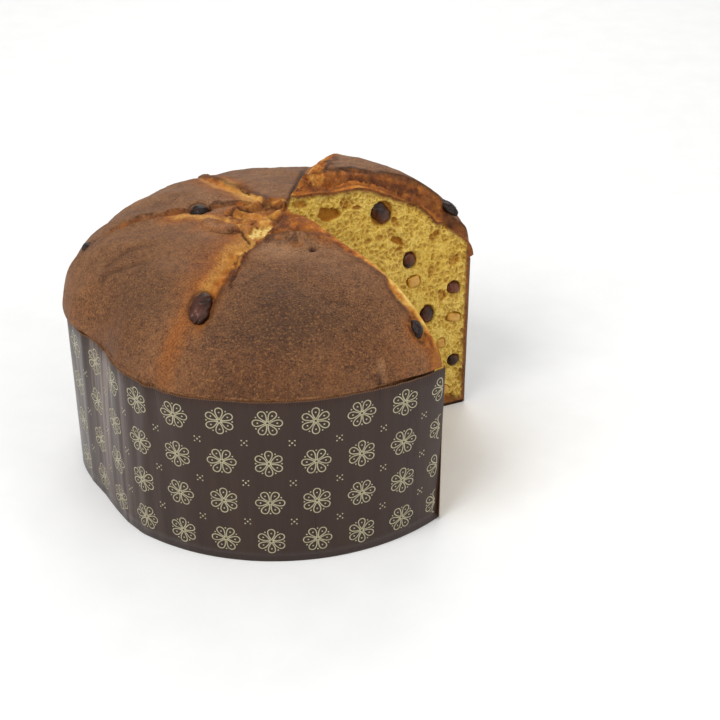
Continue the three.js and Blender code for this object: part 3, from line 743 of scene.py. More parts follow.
def crust_surface(shares, azimuths):
    """Points of the dome, rows by columns, with their looks. A share of 0 is the gap's tip and
    1 the rim; a point is tip (1 - share) + share R (cos a, sin a), lifted onto the dome and
    moved along the dome's normal by the relief."""
    share, azimuth = np.meshgrid(shares, azimuths, indexing="ij")
    x = GAP_TIP[0] * (1 - share) + share * dome_radius * np.cos(azimuth)
    y = GAP_TIP[1] * (1 - share) + share * dome_radius * np.sin(azimuth)
    radius = np.hypot(x, y)
    relief, marks = crust_looks(x, y)
    step = 0.05
    slope = (dome_height(radius - step) - dome_height(radius + step)) / (2 * step)
    slope = np.minimum(slope, STEEPEST)
    length = np.sqrt(1.0 + slope * slope)
    around = np.arctan2(y, x)
    scale = plan_scale(around)
    sprung = LOAF_FLARE * flare(around) + rim_shift(around) + lip_shift(around)
    sprung = sprung * np.clip(radius / dome_radius, 0.0, 1.0) ** 6
    outward = (relief * slope / length + sprung) / np.maximum(radius, 1.0)
    px = x * scale + outward * x
    py = y * scale + outward * y
    pz = dome_height(radius) + relief / length
    pz = np.maximum(pz, case_height + OVERHANG_RISE)
    # The cut edges stay in the planes of the cuts
    for cut, kept, column in ((FAR_CUT, 1.0, 0), (NEAR_CUT, -1.0, -1)):
        off = behind_cut(cut, kept, px[:, column], py[:, column])[:, None]
        fall = off * gauss(behind_cut(cut, kept, x, y) / STRAIGHTEN_REACH)
        px += kept * math.sin(cut) * fall
        py -= kept * math.cos(cut) * fall
    return np.stack([px, py, pz], -1), marks


def lower_loaf(azimuths):
    """Rows below the dome: lip, side, bevelled foot and flat bottom back to the gap's tip."""
    side = case_radius - CASE_WALL - CLEARANCE
    foot = foot_radius - CASE_WALL - CLEARANCE
    bottom = CASE_FLOOR + CLEARANCE
    rings = [(dome_radius, case_height + OVERHANG_RISE), (side, case_height + CLEARANCE)]
    drop = bottom + BOTTOM_BEVEL - case_height
    rings += [(side + (foot - side) * k / 4, case_height + drop * k / 4) for k in range(1, 5)]
    rings += [(foot - BOTTOM_BEVEL, bottom)]
    rows = []
    for radius, height in rings:
        shift = rim_shift(azimuths) * min(height / case_height, 1.0) ** 2
        reach = radius * plan_scale(azimuths) + shift
        if height > case_height + 1.0:
            reach = reach + LOAF_FLARE * flare(azimuths) + lip_shift(azimuths)
        rows.append(np.stack([reach * np.cos(azimuths), reach * np.sin(azimuths),
                              np.full(azimuths.shape, height)], -1))
    tip = np.broadcast_to([GAP_TIP[0], GAP_TIP[1], bottom], rows[-1].shape)
    rows += [rows[-1] * 0.5 + tip * 0.5, tip]
    return np.stack(rows)


def lay_grid(name, points, looks=None, wrap=False):
    """A smooth mesh over a grid of points in millimetres, rows by columns, faces towards the
    side from which rows run down and columns run right; wrap joins the last row to the
    first. Doubled points are merged."""
    rows, columns = points.shape[:2]
    index = np.arange(rows * columns).reshape(rows, columns)
    if wrap:
        index = np.vstack([index, index[:1]])
    quads = np.stack([index[:-1, :-1], index[1:, :-1], index[1:, 1:], index[:-1, 1:]], -1)
    quads = quads.reshape(-1, 4)
    return lay_faces(name, points.reshape(-1, 3), quads, looks)


def lay_faces(name, points, quads, looks=None, merge=1e-7):
    """A smooth mesh of four-sided faces over points in millimetres."""
    mesh = bpy.data.meshes.new(name)
    mesh.vertices.add(len(points))
    mesh.vertices.foreach_set("co", (points * MM).astype(np.float32).ravel())
    mesh.loops.add(quads.size)
    mesh.loops.foreach_set("vertex_index", quads.astype(np.int32).ravel())
    mesh.polygons.add(len(quads))
    mesh.polygons.foreach_set("loop_start", np.arange(0, quads.size, 4, dtype=np.int32))
    mesh.update(calc_edges=True)
    for key, values in (looks or {}).items():
        layer = mesh.attributes.new(key, "FLOAT", "POINT")
        layer.data.foreach_set("value", np.asarray(values, np.float32).ravel())
    mesh.validate()
    welded = bmesh.new()
    welded.from_mesh(mesh)
    bmesh.ops.remove_doubles(welded, verts=welded.verts, dist=merge)
    welded.to_mesh(mesh)
    welded.free()
    mesh.polygons.foreach_set("use_smooth", np.ones(len(mesh.polygons), bool))
    piece = bpy.data.objects.new(name, mesh)
    bpy.context.scene.collection.objects.link(piece)
    return piece


far_azimuth = azimuth_of_cut(FAR_CUT, dome_radius)
near_azimuth = azimuth_of_cut(NEAR_CUT, dome_radius) + 2 * math.pi
azimuths = np.linspace(far_azimuth, near_azimuth, CRUST_COLUMNS)
shares = even_shares(CRUST_ROWS)
dome, dome_looks = crust_surface(shares, azimuths)
below = lower_loaf(azimuths)
crust_points = np.concatenate([dome, below])
crust_marks = {key: np.concatenate([values, np.zeros(below.shape[:2])])
               for key, values in dome_looks.items()}
loaf_crust = lay_grid("loaf_crust", crust_points, crust_marks)

# The crumb's foam: how fast and how far it wanders, and cells to the metre
WEB_DRIFT_SCALE = 300.0
WEB_DRIFT = (0.0016, 0.0016, 0.0016)
WEB_SCALES = (360.0, 760.0)


def crumb_web():
    """A node group that puts out the thin walls between crumb cells, 1 on a wall and 0 in a
    cell: edges of two Voronoi foams in slightly warped Object coordinates."""
    group = bpy.data.node_groups.new("crumb_web", "ShaderNodeTree")
    group.interface.new_socket("Place", in_out="INPUT", socket_type="NodeSocketVector")
    group.interface.new_socket("Film", in_out="OUTPUT", socket_type="NodeSocketFloat")
    entry = group.nodes.new("NodeGroupInput").outputs["Place"]
    drift = add_node(group, "ShaderNodeTexNoise", {"Vector": entry, "Scale": WEB_DRIFT_SCALE})
    moved = add_node(group, "ShaderNodeVectorMath", {0: drift.outputs["Color"], 1: WEB_DRIFT},
                     operation="MULTIPLY").outputs["Vector"]
    warped = add_node(group, "ShaderNodeVectorMath", {0: entry, 1: moved},
                      operation="ADD").outputs["Vector"]
    films = []
    for cells_a_metre in WEB_SCALES:
        cells = add_node(group, "ShaderNodeTexVoronoi", {
            "Vector": warped, "Scale": cells_a_metre}, feature="DISTANCE_TO_EDGE")
        between = cells.outputs["Distance"]
        films.append(remap(group, between, 0.02, 0.24, 1.0, 0.0))
    film = arithmetic(group, "MAXIMUM", films[0], arithmetic(group, "MULTIPLY", films[1], 0.75))
    group.links.new(film, group.nodes.new("NodeGroupOutput").inputs["Film"])
    return group


web_group = crumb_web()


def add_web(tree, place):
    """The crumb's thin walls, in a material."""
    return add_node(tree, "ShaderNodeGroup", {"Place": place}, node_tree=web_group).outputs["Film"]


crust_skin, tree, shader, place = start_material("crust_skin")
torn = measured(tree, "torn")
bake = measured(tree, "bake")
edge = measured(tree, "edge")
warm = measured(tree, "warm")
deep = measured(tree, "deep")
broad = noise(tree, place, 30.0, 3.0)
mottle = noise(tree, place, 260.0, 4.0, 0.6)
speck = noise(tree, place, 1250.0, 3.0, 0.7)
fleck = noise(tree, place, 850.0, 2.0, 0.6, (1.0, 1.6, 1.0))
depth = arithmetic(tree, "ADD", remap(tree, broad, 0.3, 0.7, 0.0, 0.3),
                   remap(tree, mottle, 0.3, 0.7, -0.05, 0.4))
depth = arithmetic(tree, "ADD", depth, remap(tree, speck, 0.35, 0.65, -0.2, 0.7))
skin = blend(tree, depth, blend(tree, deep, paint(69, 41, 25), paint(44, 26, 17)),
             blend(tree, deep, paint(139, 95, 61), paint(97, 65, 43)))
# Pale skin where deep is below zero; over the back quarters and on one bump this pallor is painted
# light.
light = blend(tree, depth, paint(110, 74, 52), paint(186, 140, 98))
skin = blend(tree, remap(tree, deep, -1.0, 0.0, 1.0, 0.0), skin, light)
skin = blend(tree, remap(tree, fleck, 0.56, 0.68, 0.0, 0.5), skin, paint(164, 116, 66))
orange = blend(tree, depth, paint(98, 48, 18), paint(164, 98, 40))
gold = blend(tree, depth, paint(160, 98, 36), paint(218, 162, 80))
skin = blend(tree, remap(tree, warm, 0.0, 0.5), skin, orange)
skin = blend(tree, remap(tree, warm, 0.45, 1.0), skin, gold)
# Dark skin edges, together with painted shade in cracks, creases, pits, crevices and hollows.
skin = blend(tree, arithmetic(tree, "MULTIPLY", edge, 0.8), skin, paint(44, 20, 12))
pale = blend(tree, remap(tree, mottle, 0.35, 0.65), paint(198, 136, 50), paint(232, 192, 100))
brown = blend(tree, remap(tree, mottle, 0.35, 0.65), paint(84, 40, 16), paint(146, 82, 32))
amber = blend(tree, remap(tree, mottle, 0.35, 0.65), paint(158, 84, 24), paint(204, 126, 44))
baked = arithmetic(tree, "ADD", bake, remap(tree, speck, 0.3, 0.7, -0.2, 0.2))
bread = blend(tree, remap(tree, baked, 0.0, 0.5), pale, amber)
bread = blend(tree, remap(tree, baked, 0.5, 1.0), bread, brown)
# Lighter crumb walls and darker cells between them: painted shade in pores too fine for the mesh.
fresh = blend(tree, add_web(tree, place), paint(206, 154, 54), paint(246, 220, 140))
bread = blend(tree, remap(tree, bake, FRESH, FRESH / 4, 1.0, 0.0), bread, fresh)
# The same on bare bread: dark edges, and painted shade in its grooves, crevices and the crack at
# the swell's foot.
bread = blend(tree, arithmetic(tree, "MULTIPLY", edge, 0.7), bread, paint(60, 28, 12))
tree.links.new(blend(tree, torn, skin, bread), shader.inputs["Base Color"])
tree.links.new(remap(tree, speck, 0.3, 0.7, 0.5, 0.72), shader.inputs["Roughness"])
shader.inputs["Specular IOR Level"].default_value = 0.2
raise_bump(tree, shader, arithmetic(tree, "ADD", speck, mottle), 0.0004, 0.9)
loaf_crust.data.materials.append(crust_skin)
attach(loaf_crust, "root")
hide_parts("loaf")


# Raisins and candied peel. Soaked raisins, wrinkled and dark, and small blocks of amber
# citrus peel were kneaded into the dough; the knife laid them bare on both cuts, and some
# show through the skin.
BAKED_RAISINS = ("raisin_02", "raisin_03", "raisin_05", "raisin_06")
COVERED_RAISIN = "raisin_04"
RAISIN_TURNS = 48
RAISIN_RINGS = 32
FRUIT_SEED = 11


def block_frame(node):
    """Middle, axes and half sizes of a peel block's solid: two edges of its first face
    give the axes."""
    first = node.data.polygons[0]
    normal = np.array(first.normal)
    corners = np.empty(len(node.data.vertices) * 3)
    node.data.vertices.foreach_get("co", corners)
    corners = corners.reshape(-1, 3) / MM
    a, b, c = (corners[i] for i in first.vertices)
    legs = sorted([b - a, c - b, a - c], key=np.linalg.norm)
    side = legs[0] / np.linalg.norm(legs[0])
    axes = np.stack([side, np.cross(normal, side), normal], -1)
    middle = (corners.max(0) + corners.min(0)) / 2
    local = (corners - middle) @ axes
    return middle, axes, np.abs(local).max(0)


def bead(middle, axes, half, shape):
    """A closed skin round a middle: the sphere's direction d at (turn, ring) is scaled by
    half sizes and by shape(d)."""
    ring, turn = np.meshgrid(np.linspace(0, math.pi, RAISIN_RINGS),
                             np.linspace(0, 2 * math.pi, RAISIN_TURNS + 1), indexing="ij")
    around = np.sin(ring)
    direction = np.stack([around * np.cos(turn), around * np.sin(turn), np.cos(ring)], -1)
    local = direction * half * shape(direction)[..., None]
    return middle + local @ axes.T


def wrinkled(seed):
    """Scale of a raisin's skin by direction: deep folds that run from end to end, with
    finer ones across, as bells on the zero lines of noise."""
    def scale(direction):
        x, y, z = np.moveaxis(direction, -1, 0)
        fold = gauss(fractal(x + z, y - z + seed, 0.8, seed, 2) / 0.16)
        fine = gauss(fractal(x - y + seed, z + y, 0.35, seed + 3, 2) / 0.2)
        body = 0.17 * fractal(x + seed, y + z, 0.9, seed + 7, 2)
        return 1.0 + body - 0.1 * fold - 0.04 * fine
    return scale


def blocky(seed):
    """Scale that turns a sphere into a rounded block: |d| to the fourth power summed, to the
    power of -1/4, with shallow dents."""
    def scale(direction):
        x, y, z = np.moveaxis(direction, -1, 0)
        box = (x**4 + y**4 + z**4) ** -0.25
        return 0.94 * np.minimum(box, 1.35) * (1.0 + 0.12 * fractal(x + seed, y + z, 0.8, seed, 2))
    return scale


raisin_skin, tree, shader, place = start_material("raisin_skin")
tone = noise(tree, place, 90.0, 2.0)
fine = noise(tree, place, 900.0, 3.0)
tree.links.new(blend(tree, remap(tree, tone, 0.35, 0.7), paint(38, 18, 11), paint(104, 52, 29)),
               shader.inputs["Base Color"])
tree.links.new(remap(tree, fine, 0.3, 0.7, 0.28, 0.5), shader.inputs["Roughness"])
shader.inputs["Specular IOR Level"].default_value = 0.3
shader.inputs["Coat Weight"].default_value = 0.05
shader.inputs["Coat Roughness"].default_value = 0.25
raise_bump(tree, shader, fine, 0.0002)

baked_raisin, tree, shader, place = start_material("baked_raisin")
fine = noise(tree, place, 900.0, 3.0)
tree.links.new(blend(tree, noise(tree, place, 200.0, 2.0), paint(15, 9, 7), paint(48, 28, 21)),
               shader.inputs["Base Color"])
tree.links.new(remap(tree, fine, 0.3, 0.7, 0.3, 0.55), shader.inputs["Roughness"])
shader.inputs["Specular IOR Level"].default_value = 0.25
raise_bump(tree, shader, fine, 0.0003)

peel_flesh, tree, shader, place = start_material("peel_flesh")
tone = noise(tree, place, 160.0, 2.0)
tree.links.new(blend(tree, remap(tree, tone, 0.35, 0.7), paint(182, 128, 38), paint(212, 170, 76)),
               shader.inputs["Base Color"])
gloss = remap(tree, noise(tree, place, 700.0), 0.3, 0.7, 0.22, 0.42)
tree.links.new(gloss, shader.inputs["Roughness"])
shader.inputs["Subsurface Weight"].default_value = 0.15
shader.inputs["Subsurface Radius"].default_value = (1.0, 0.7, 0.3)
shader.inputs["Subsurface Scale"].default_value = 0.002
raise_bump(tree, shader, noise(tree, place, 500.0), 0.0002)

fruit = []
for name in sorted(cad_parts):
    seed = FRUIT_SEED + len(fruit)
    if name.startswith("raisin"):
        middle, axes, half = fruit_frame(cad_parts[name])
        shape, flesh, material_slot = wrinkled(seed), raisin_skin, "raisin"
        if name in BAKED_RAISINS:
            flesh = baked_raisin
        if name == COVERED_RAISIN:
            flesh = crust_skin
    elif name.startswith("candied_peel"):
        middle, axes, half = block_frame(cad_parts[name])
        shape, flesh, material_slot = blocky(seed), peel_flesh, "candied_peel"
    else:
        continue
    piece = lay_grid(name + "_flesh", bead(middle, axes, half, shape)[::-1])
    piece.data.materials.append(flesh)
    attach(piece, "root")
    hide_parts(name)
    fruit.append((middle, axes, half))


# The crumb. Both cuts show the same open, yellow crumb, drawn upwards as the dough rose,
# with larger holes near the top, a thin brown rind and a darker foot.
CRUMB_ROWS = 250
# Rows below the dome that make up the loaf's side, from the lip down
SIDE_ROWS = 6
AIR_HOLES = [
    # place along the far cut, height, half width, half height, turn in degrees, depth
    (23.0, 126.0, 6.4, 3.8, -22.0, 2.8),
    (37.4, 127.2, 3.6, 1.7, -6.0, 1.8),
    (60.5, 104.4, 5.2, 2.8, -30.0, 2.6),
    (44.0, 107.4, 2.3, 1.7, 0.0, 1.5),
    (50.3, 108.3, 2.5, 1.8, -20.0, 1.5),
    (7.7, 134.3, 5.0, 2.8, -12.0, 1.7),
]
# Foams of pores: size of a cell, share of the cells that open, depth
PORES = [(6.0, 0.2, 1.5), (3.0, 0.75, 0.8), (1.6, 0.9, 0.45)]
# Fruit within this distance of a cut lies in a hollow of that depth
FRUIT_REACH = 4.0
FRUIT_HOLLOW = 2.4


def between_edges(foot, top, upright, side):
    """A patch between four edges, by its share run from the upright to the side and rise
    from the foot to the top: both pairs of facing edges blended and added, less the four
    corners blended."""
    run = shares[:, None, None]
    rise = np.linspace(0.0, 1.0, CRUMB_ROWS)[None, :, None]
    return ((1 - rise) * foot[:, None] + rise * top[:, None]
            + (1 - run) * upright[None] + run * side[None]
            - (1 - run) * (1 - rise) * foot[0] - run * (1 - rise) * foot[-1]
            - (1 - run) * rise * top[0] - run * rise * top[-1])


def crumb_depth(t, z, along, out, holes, seed):
    """Depth of the crumb at distances t along a cut and heights z: cells of the foams that
    open, then the air holes, then a hollow round each piece of fruit."""
    bent_t = t + 1.6 * fractal(t, z, 9.0, seed)
    bent_z = (z + 1.6 * fractal(t, z, 9.0, seed + 2)) / 1.1
    sunk = np.zeros(t.shape)
    for size, share, deep in PORES:
        first, second, draw = foam(bent_t, bent_z, size, seed + int(10 * size))
        pit = ease(second - first, 0.03, 0.4) * ease(draw, 1 - share - 0.05, 1 - share + 0.25)
        sunk = sunk + deep * pit * (1.0 - 0.35 * sunk / 2.5)
    for *oval, deep in holes:
        reach = in_oval(t, z, oval)[0] + 0.6 * fractal(t, z, 4.5, seed + 6)
        sunk = np.maximum(sunk * (0.4 + 0.6 * ease(reach, 0.7, 1.1)),
                          deep * (1.0 - ease(reach, 0.55, 1.05)))
    for middle, axes, half in fruit:
        place_t = (middle[:2] - GAP_TIP) @ along
        place_out = (middle[:2] - GAP_TIP) @ out
        if abs(place_out) > FRUIT_REACH or place_t < 0:
            continue
        facing = np.array([[along[0], along[1], 0.0], [0.0, 0.0, 1.0]])
        spread = np.sqrt(np.sum((facing @ axes * half) ** 2, -1))
        reach = np.hypot((t - place_t) / spread[0], (z - middle[2]) / spread[1])
        reach = reach + 0.08 * fractal(t, z, 3.0, seed + 8)
        sunk = np.maximum(sunk, FRUIT_HOLLOW * (1.0 - ease(reach, 0.85, 1.35)))
    return sunk


def crumb_face(name, cut, kept, column, holes, seed):
    """One cut as a patch between the tip's upright, the flat foot, the side and the dome's
    cut edge, sunk by the crumb's depth except along its edges."""
    out = kept * np.array([math.sin(cut), -math.cos(cut)])
    along = np.array([math.cos(cut), math.sin(cut)])

    def flat(points):
        """Points as distances along the cut and heights."""
        return np.stack([(points[:, :2] - GAP_TIP) @ along, points[:, 2]], -1)

    top = flat(dome[:, column])
    rim = flat(below[:SIDE_ROWS, column])
    lifts = np.linspace(0.0, 1.0, CRUMB_ROWS)
    rim_lifts = np.linspace(0, 1, SIDE_ROWS)
    foot_z = CASE_FLOOR + CLEARANCE
    side = np.stack([np.interp(lifts, rim_lifts, rim[::-1, 0]),
                     np.interp(lifts, rim_lifts, rim[::-1, 1])], -1)
    side[0] = [rim[-1, 0], foot_z]
    side[-1] = top[-1]
    foot = np.stack([shares * side[0, 0], np.full(shares.shape, foot_z)], -1)
    upright = np.stack([np.zeros(lifts.shape), foot_z + lifts * (top[0, 1] - foot_z)], -1)
    t, z = np.moveaxis(between_edges(foot, top, upright, side), -1, 0)
    to_top = np.abs(z - np.interp(t, top[:, 0], top[:, 1]))
    to_edge = np.minimum.reduce([z - foot_z, np.abs(side[0, 0] - t), to_top])
    to_edge = np.where(shares[:, None] > 0.995, 0.0, np.maximum(to_edge, 0.0))
    inner = ease(to_edge, 0.1, 2.0) * ease(t, 0.0, 1.0)
    sunk = crumb_depth(t, z, along, out, holes, seed)
    sunk = sunk * inner + 0.35 * inner * fractal(t, z, 1.2, seed + 12, 2)
    rind = np.maximum(1.0 - ease(to_top + 0.8 * fractal(t, z, 5.0, seed + 14), 0.6, 4.0),
                      1.0 - ease(z - foot_z + 0.8 * fractal(t, z, 6.0, seed + 15), 1.5, 5.0))
    rind = np.maximum(rind, 1.0 - ease(side[0, 0] - t, 0.3, 2.2))
    points = np.stack([GAP_TIP[0] + t * along[0] - sunk * out[0],
                       GAP_TIP[1] + t * along[1] - sunk * out[1], z], -1)
    if kept < 0:
        points, sunk, rind = points[::-1], sunk[::-1], rind[::-1]
    return lay_grid(name, points, {"sunk": sunk, "rind": rind})


crumb_flesh, tree, shader, place = start_material("crumb_flesh")
sunk = measured(tree, "sunk")
rind = measured(tree, "rind")
nap = noise(tree, place, 420.0, 3.0, 0.6)
patches = noise(tree, place, 45.0, 2.0)
film = add_web(tree, place)
# Lighter crumb walls and darker cells between them: painted shade in pores too fine for the mesh.
wall = blend(tree, film, paint(194, 152, 48), paint(229, 201, 108))
wall = blend(tree, remap(tree, patches, 0.35, 0.7, 0.0, 0.4), wall, paint(204, 162, 56))
# Darker the deeper a pit sinks: painted shade in the pits.
pit = blend(tree, remap(tree, sunk, 0.3, 2.0), wall, paint(160, 105, 30))
baked = blend(tree, remap(tree, nap, 0.3, 0.7), paint(96, 56, 34), paint(150, 92, 44))
tree.links.new(blend(tree, rind, pit, baked), shader.inputs["Base Color"])
tree.links.new(remap(tree, nap, 0.3, 0.7, 0.6, 0.8), shader.inputs["Roughness"])
shader.inputs["Specular IOR Level"].default_value = 0.15
shader.inputs["Subsurface Weight"].default_value = 0.12
shader.inputs["Subsurface Radius"].default_value = (1.0, 0.7, 0.3)
shader.inputs["Subsurface Scale"].default_value = 0.0015
pores = arithmetic(tree, "ADD", film, arithmetic(tree, "MULTIPLY", nap, 0.5))
raise_bump(tree, shader, pores, 0.00025)

crumb_far = crumb_face("crumb_far", FAR_CUT, 1.0, 0, AIR_HOLES, 101)
crumb_near = crumb_face("crumb_near", NEAR_CUT, -1.0, -1, [], 301)
for piece in (crumb_far, crumb_near):
    piece.data.materials.append(crumb_flesh)
    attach(piece, "root")
    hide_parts("loaf")


# The paper case. Brown baking paper with a fine flute inside and a dark, waxed film
# outside, bent round the loaf and crimped to a flat floor; it was pressed flat on one side
# and is cut through with the loaf.
FLUTE_PITCH = 1.15
FLUTE_DEPTH = 0.22
FLUTE_STEPS = 4
CASE_FLARE = 3.4
FILM_INSET = 0.02
FILM_ROWS = 15
# The paper's thickness as it folds over the rim: inset, drop below the rim
RIM_PROFILE = [(0.22, 0.22), (0.55, 0.3), (0.78, 0.6)]
FLUTED_INSET = 0.78
# The paper starts this high over the floor, as far in as given
WALL_START = 0.3
WALL_START_INSET = 0.4
# Bends of the wall: azimuth in degrees, outward push in millimetres, half width in degrees
WALL_BENDS = [
    (-176.0, -0.5, 1.6), (-171.0, 0.45, 1.8), (-165.0, -0.4, 1.8), (-160.0, 0.5, 1.6),
    (-154.0, -0.35, 2.2), (-149.0, 0.3, 1.6), (-143.0, -0.4, 2.2), (-136.0, -0.35, 2.4),
    (-128.0, 0.9, 2.0), (-121.0, -0.25, 2.5), (-96.0, 0.15, 4.0), (-70.0, -0.15, 5.0),
    (60.0, 0.25, 3.0), (83.0, -0.3, 3.0), (110.0, 0.3, 2.5), (135.0, -0.3, 2.5),
    (160.0, 0.35, 2.0),
]
# Azimuths of the wall's near end at the foot and at the rim
CASE_NEAR_FOOT = -44.6
CASE_NEAR_RIM = -46.5
# Where the wall was pressed the film is creased, and paler streaks of painted glare lie over it:
# azimuth and half widths
PRESSED_AZIMUTH = -146.0
GLARE_SPREAD = 10.0
CREASED_SPREAD = 34.0
FLOOR_COLUMNS = 240
FLOOR_TOP = 1.3
FLOOR_BOTTOM = 0.05


def wall_radius(azimuth, height):
    """Outer radius of the paper in millimetres: the round, flattened plan, its bends as
    bells that fade towards the foot, a flare where it springs off the near cut, the rim's
    shifts, and a slight waviness."""
    share = height / case_height
    radius = (foot_radius + (case_radius - foot_radius) * share) * plan_scale(azimuth)
    degrees = np.degrees(azimuth)
    for place_at, push, half_width in WALL_BENDS:
        apart = wound(degrees - place_at - 6.0 * (share - 0.5) * push)
        radius = radius + push * (0.35 + 0.65 * share) * gauss(apart / half_width)
    radius = radius + CASE_FLARE * flare(azimuth) * share**1.5 + rim_shift(azimuth) * share**2
    return radius - 0.25 + 0.12 * smooth_noise(degrees, height, 14.0, 5)


def case_wall_points():
    """The wall as a closed outline carried round the loaf: up the film, over the edge, down
    the flutes. The rim is a fine zigzag, and the first and last columns fold onto the
    paper's middle to close the ends."""
    start = azimuth_of_cut(FAR_CUT, case_radius)
    end = math.radians(CASE_NEAR_FOOT) + 2 * math.pi
    flutes = int((end - start) * case_radius / FLUTE_PITCH)
    full_azimuth = np.linspace(start, end, flutes * FLUTE_STEPS + 1)
    lean = math.radians(CASE_NEAR_RIM - CASE_NEAR_FOOT)
    wave = np.sin(np.arange(full_azimuth.size) * 2 * math.pi / FLUTE_STEPS)
    tooth = 0.3 * wave + 0.25 * smooth_noise(full_azimuth * case_radius, full_azimuth, 3.0, 8)
    film_heights = np.linspace(WALL_START, case_height - 0.45, FILM_ROWS)
    flute_heights = (case_height - 4.0, case_height - 12.0, 40.0, 2.0)
    outline = [(FILM_INSET, height) for height in film_heights]
    outline += [(inset, case_height - drop) for inset, drop in RIM_PROFILE]
    outline += [(FLUTED_INSET, height) for height in flute_heights]
    outline += [(WALL_START_INSET, WALL_START)]
    rows = []
    edges = []
    for inset, height in outline:
        top = float(ease(np.array(height), case_height - 1.0, case_height - 0.3))
        azimuth = full_azimuth + lean * height / case_height * ease(full_azimuth, end - 0.5, end)
        radius = wall_radius(azimuth, np.full(azimuth.shape, height)) - inset
        if inset > WALL_START_INSET:
            radius = radius - FLUTE_DEPTH * 0.5 * (1 + wave)
        rows.append(np.stack([radius * np.cos(azimuth), radius * np.sin(azimuth),
                              height + top * tooth], -1))
        edges.append(np.full(azimuth.shape, 1.0 if inset > FILM_INSET else 0.0))
    points = np.stack(rows)
    first = points[:, :1].copy()
    last = points[:, -1:].copy()
    for closing in (first, last):
        closing[..., :2] = closing.mean(0)[..., :2]
    bare = np.ones((len(rows), 1))
    return (np.concatenate([first, points, last], 1),
            np.concatenate([bare, np.stack(edges), bare], 1))


wall_points, wall_edges = case_wall_points()
wall_azimuths = np.degrees(np.arctan2(wall_points[..., 1], wall_points[..., 0]))
case_wall = lay_grid("case_wall", wall_points[::-1], {
    "kraft": wall_edges[::-1],
    "glare": gauss((wall_azimuths[::-1] - PRESSED_AZIMUTH) / GLARE_SPREAD),
    "creased": gauss((wall_azimuths[::-1] - PRESSED_AZIMUTH) / CREASED_SPREAD) ** 2}, wrap=True)

floor_azimuths = np.linspace(azimuth_of_cut(FAR_CUT, foot_radius),
                             math.radians(CASE_NEAR_FOOT) + 2 * math.pi, FLOOR_COLUMNS)
floor_reach = wall_radius(floor_azimuths, np.zeros(FLOOR_COLUMNS)) - CASE_WALL
floor_rings = [(share, FLOOR_TOP) for share in (0.0, 0.5, 1.0)]
floor_rings += [(share, FLOOR_BOTTOM) for share in (1.0, 0.5, 0.0)]
floor_rows = []
for share, height in floor_rings:
    reach = floor_reach * share
    floor_rows.append(np.stack([
        GAP_TIP[0] * (1 - share) + reach * np.cos(floor_azimuths),
        GAP_TIP[1] * (1 - share) + reach * np.sin(floor_azimuths),
        np.full(FLOOR_COLUMNS, height)], -1))
floor_points = np.stack(floor_rows)
case_floor = lay_grid("case_floor", floor_points, {"kraft": np.ones(floor_points.shape[:2])},
                      wrap=True)

waxed_paper, tree, shader, place = start_material("waxed_paper")
kraft = measured(tree, "kraft")
fibre = noise(tree, place, 900.0, 3.0)
streak = noise(tree, place, 160.0, 3.0, 0.6, (1.0, 1.0, 0.06))
film = blend(tree, remap(tree, streak, 0.3, 0.7), paint(48, 32, 26), paint(58, 40, 32))
brown = blend(tree, fibre, paint(92, 62, 42), paint(146, 108, 76))
# Paler streaks of painted glare over the pressed panel.
glare = measured(tree, "glare")
sheen = noise(tree, place, 230.0, 2.0, 0.5, (1.0, 1.0, 0.02))
film = blend(tree, arithmetic(tree, "MULTIPLY", glare, remap(tree, sheen, 0.42, 0.62, 0.0, 0.8)),
             film, paint(98, 72, 58))
creased = measured(tree, "creased")
tree.links.new(arithmetic(tree, "MULTIPLY", creased, remap(tree, sheen, 0.48, 0.64, 0.0, 0.5)),
               shader.inputs["Coat Weight"])
shader.inputs["Coat Roughness"].default_value = 0.14
tree.links.new(blend(tree, kraft, film, brown), shader.inputs["Base Color"])
gloss = remap(tree, streak, 0.3, 0.7, 0.26, 0.4)
tree.links.new(arithmetic(tree, "MAXIMUM", gloss, arithmetic(tree, "MULTIPLY", kraft, 0.8)),
               shader.inputs["Roughness"])
shader.inputs["Specular IOR Level"].default_value = 0.28
raise_bump(tree, shader, streak, 0.0004, 0.6)

for piece in (case_wall, case_floor):
    piece.data.materials.append(waxed_paper)
    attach(piece, "root")
    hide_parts("paper_case")


# The print. A thin pale ink on the film: rows of six-petalled flowers drawn in outline, with
# small crosses of dots between them.
FLOWER_PITCH = 21.5
FLOWER_ROW_FIRST = 12.0
PETALS = 6
PETAL_START = 1.1
PETAL_LENGTH = 5.6
PETAL_WIDTH = 3.4
LINE_WIDTH = 0.52
RING_RADIUS = 0.8
DOT_RADIUS = 0.5
CROSS_REACH = 1.7
# Dots in the petals and between them: distance from the flower's middle, radius
PETAL_DOT = (4.4, 0.42)
OUTER_DOT = (5.9, 0.4)
FLOWER_ROWS = 5
FLOWER_FIRST = 3.0
INK_LIFT = 0.05
# The ink keeps this far from the wall's ends, foot and rim; no cross stands near the rim
END_MARGIN = 0.5
FOOT_MARGIN = 0.6
RIM_MARGIN = 0.9
CROSS_RIM_MARGIN = 5.0


def ribbon(path, width):
    """A flat closed line: each point of a closed path moved half a width to both sides along
    its normal."""
    heading = np.roll(path, -1, 0) - np.roll(path, 1, 0)
    normal = np.stack([-heading[:, 1], heading[:, 0]], -1)
    normal = normal / np.linalg.norm(normal, axis=1, keepdims=True)
    count = len(path)
    points = np.concatenate([path - normal * width / 2, path + normal * width / 2])
    index = np.arange(count)
    following = np.roll(index, -1)
    return points, np.stack([index, following, following + count, index + count], -1)


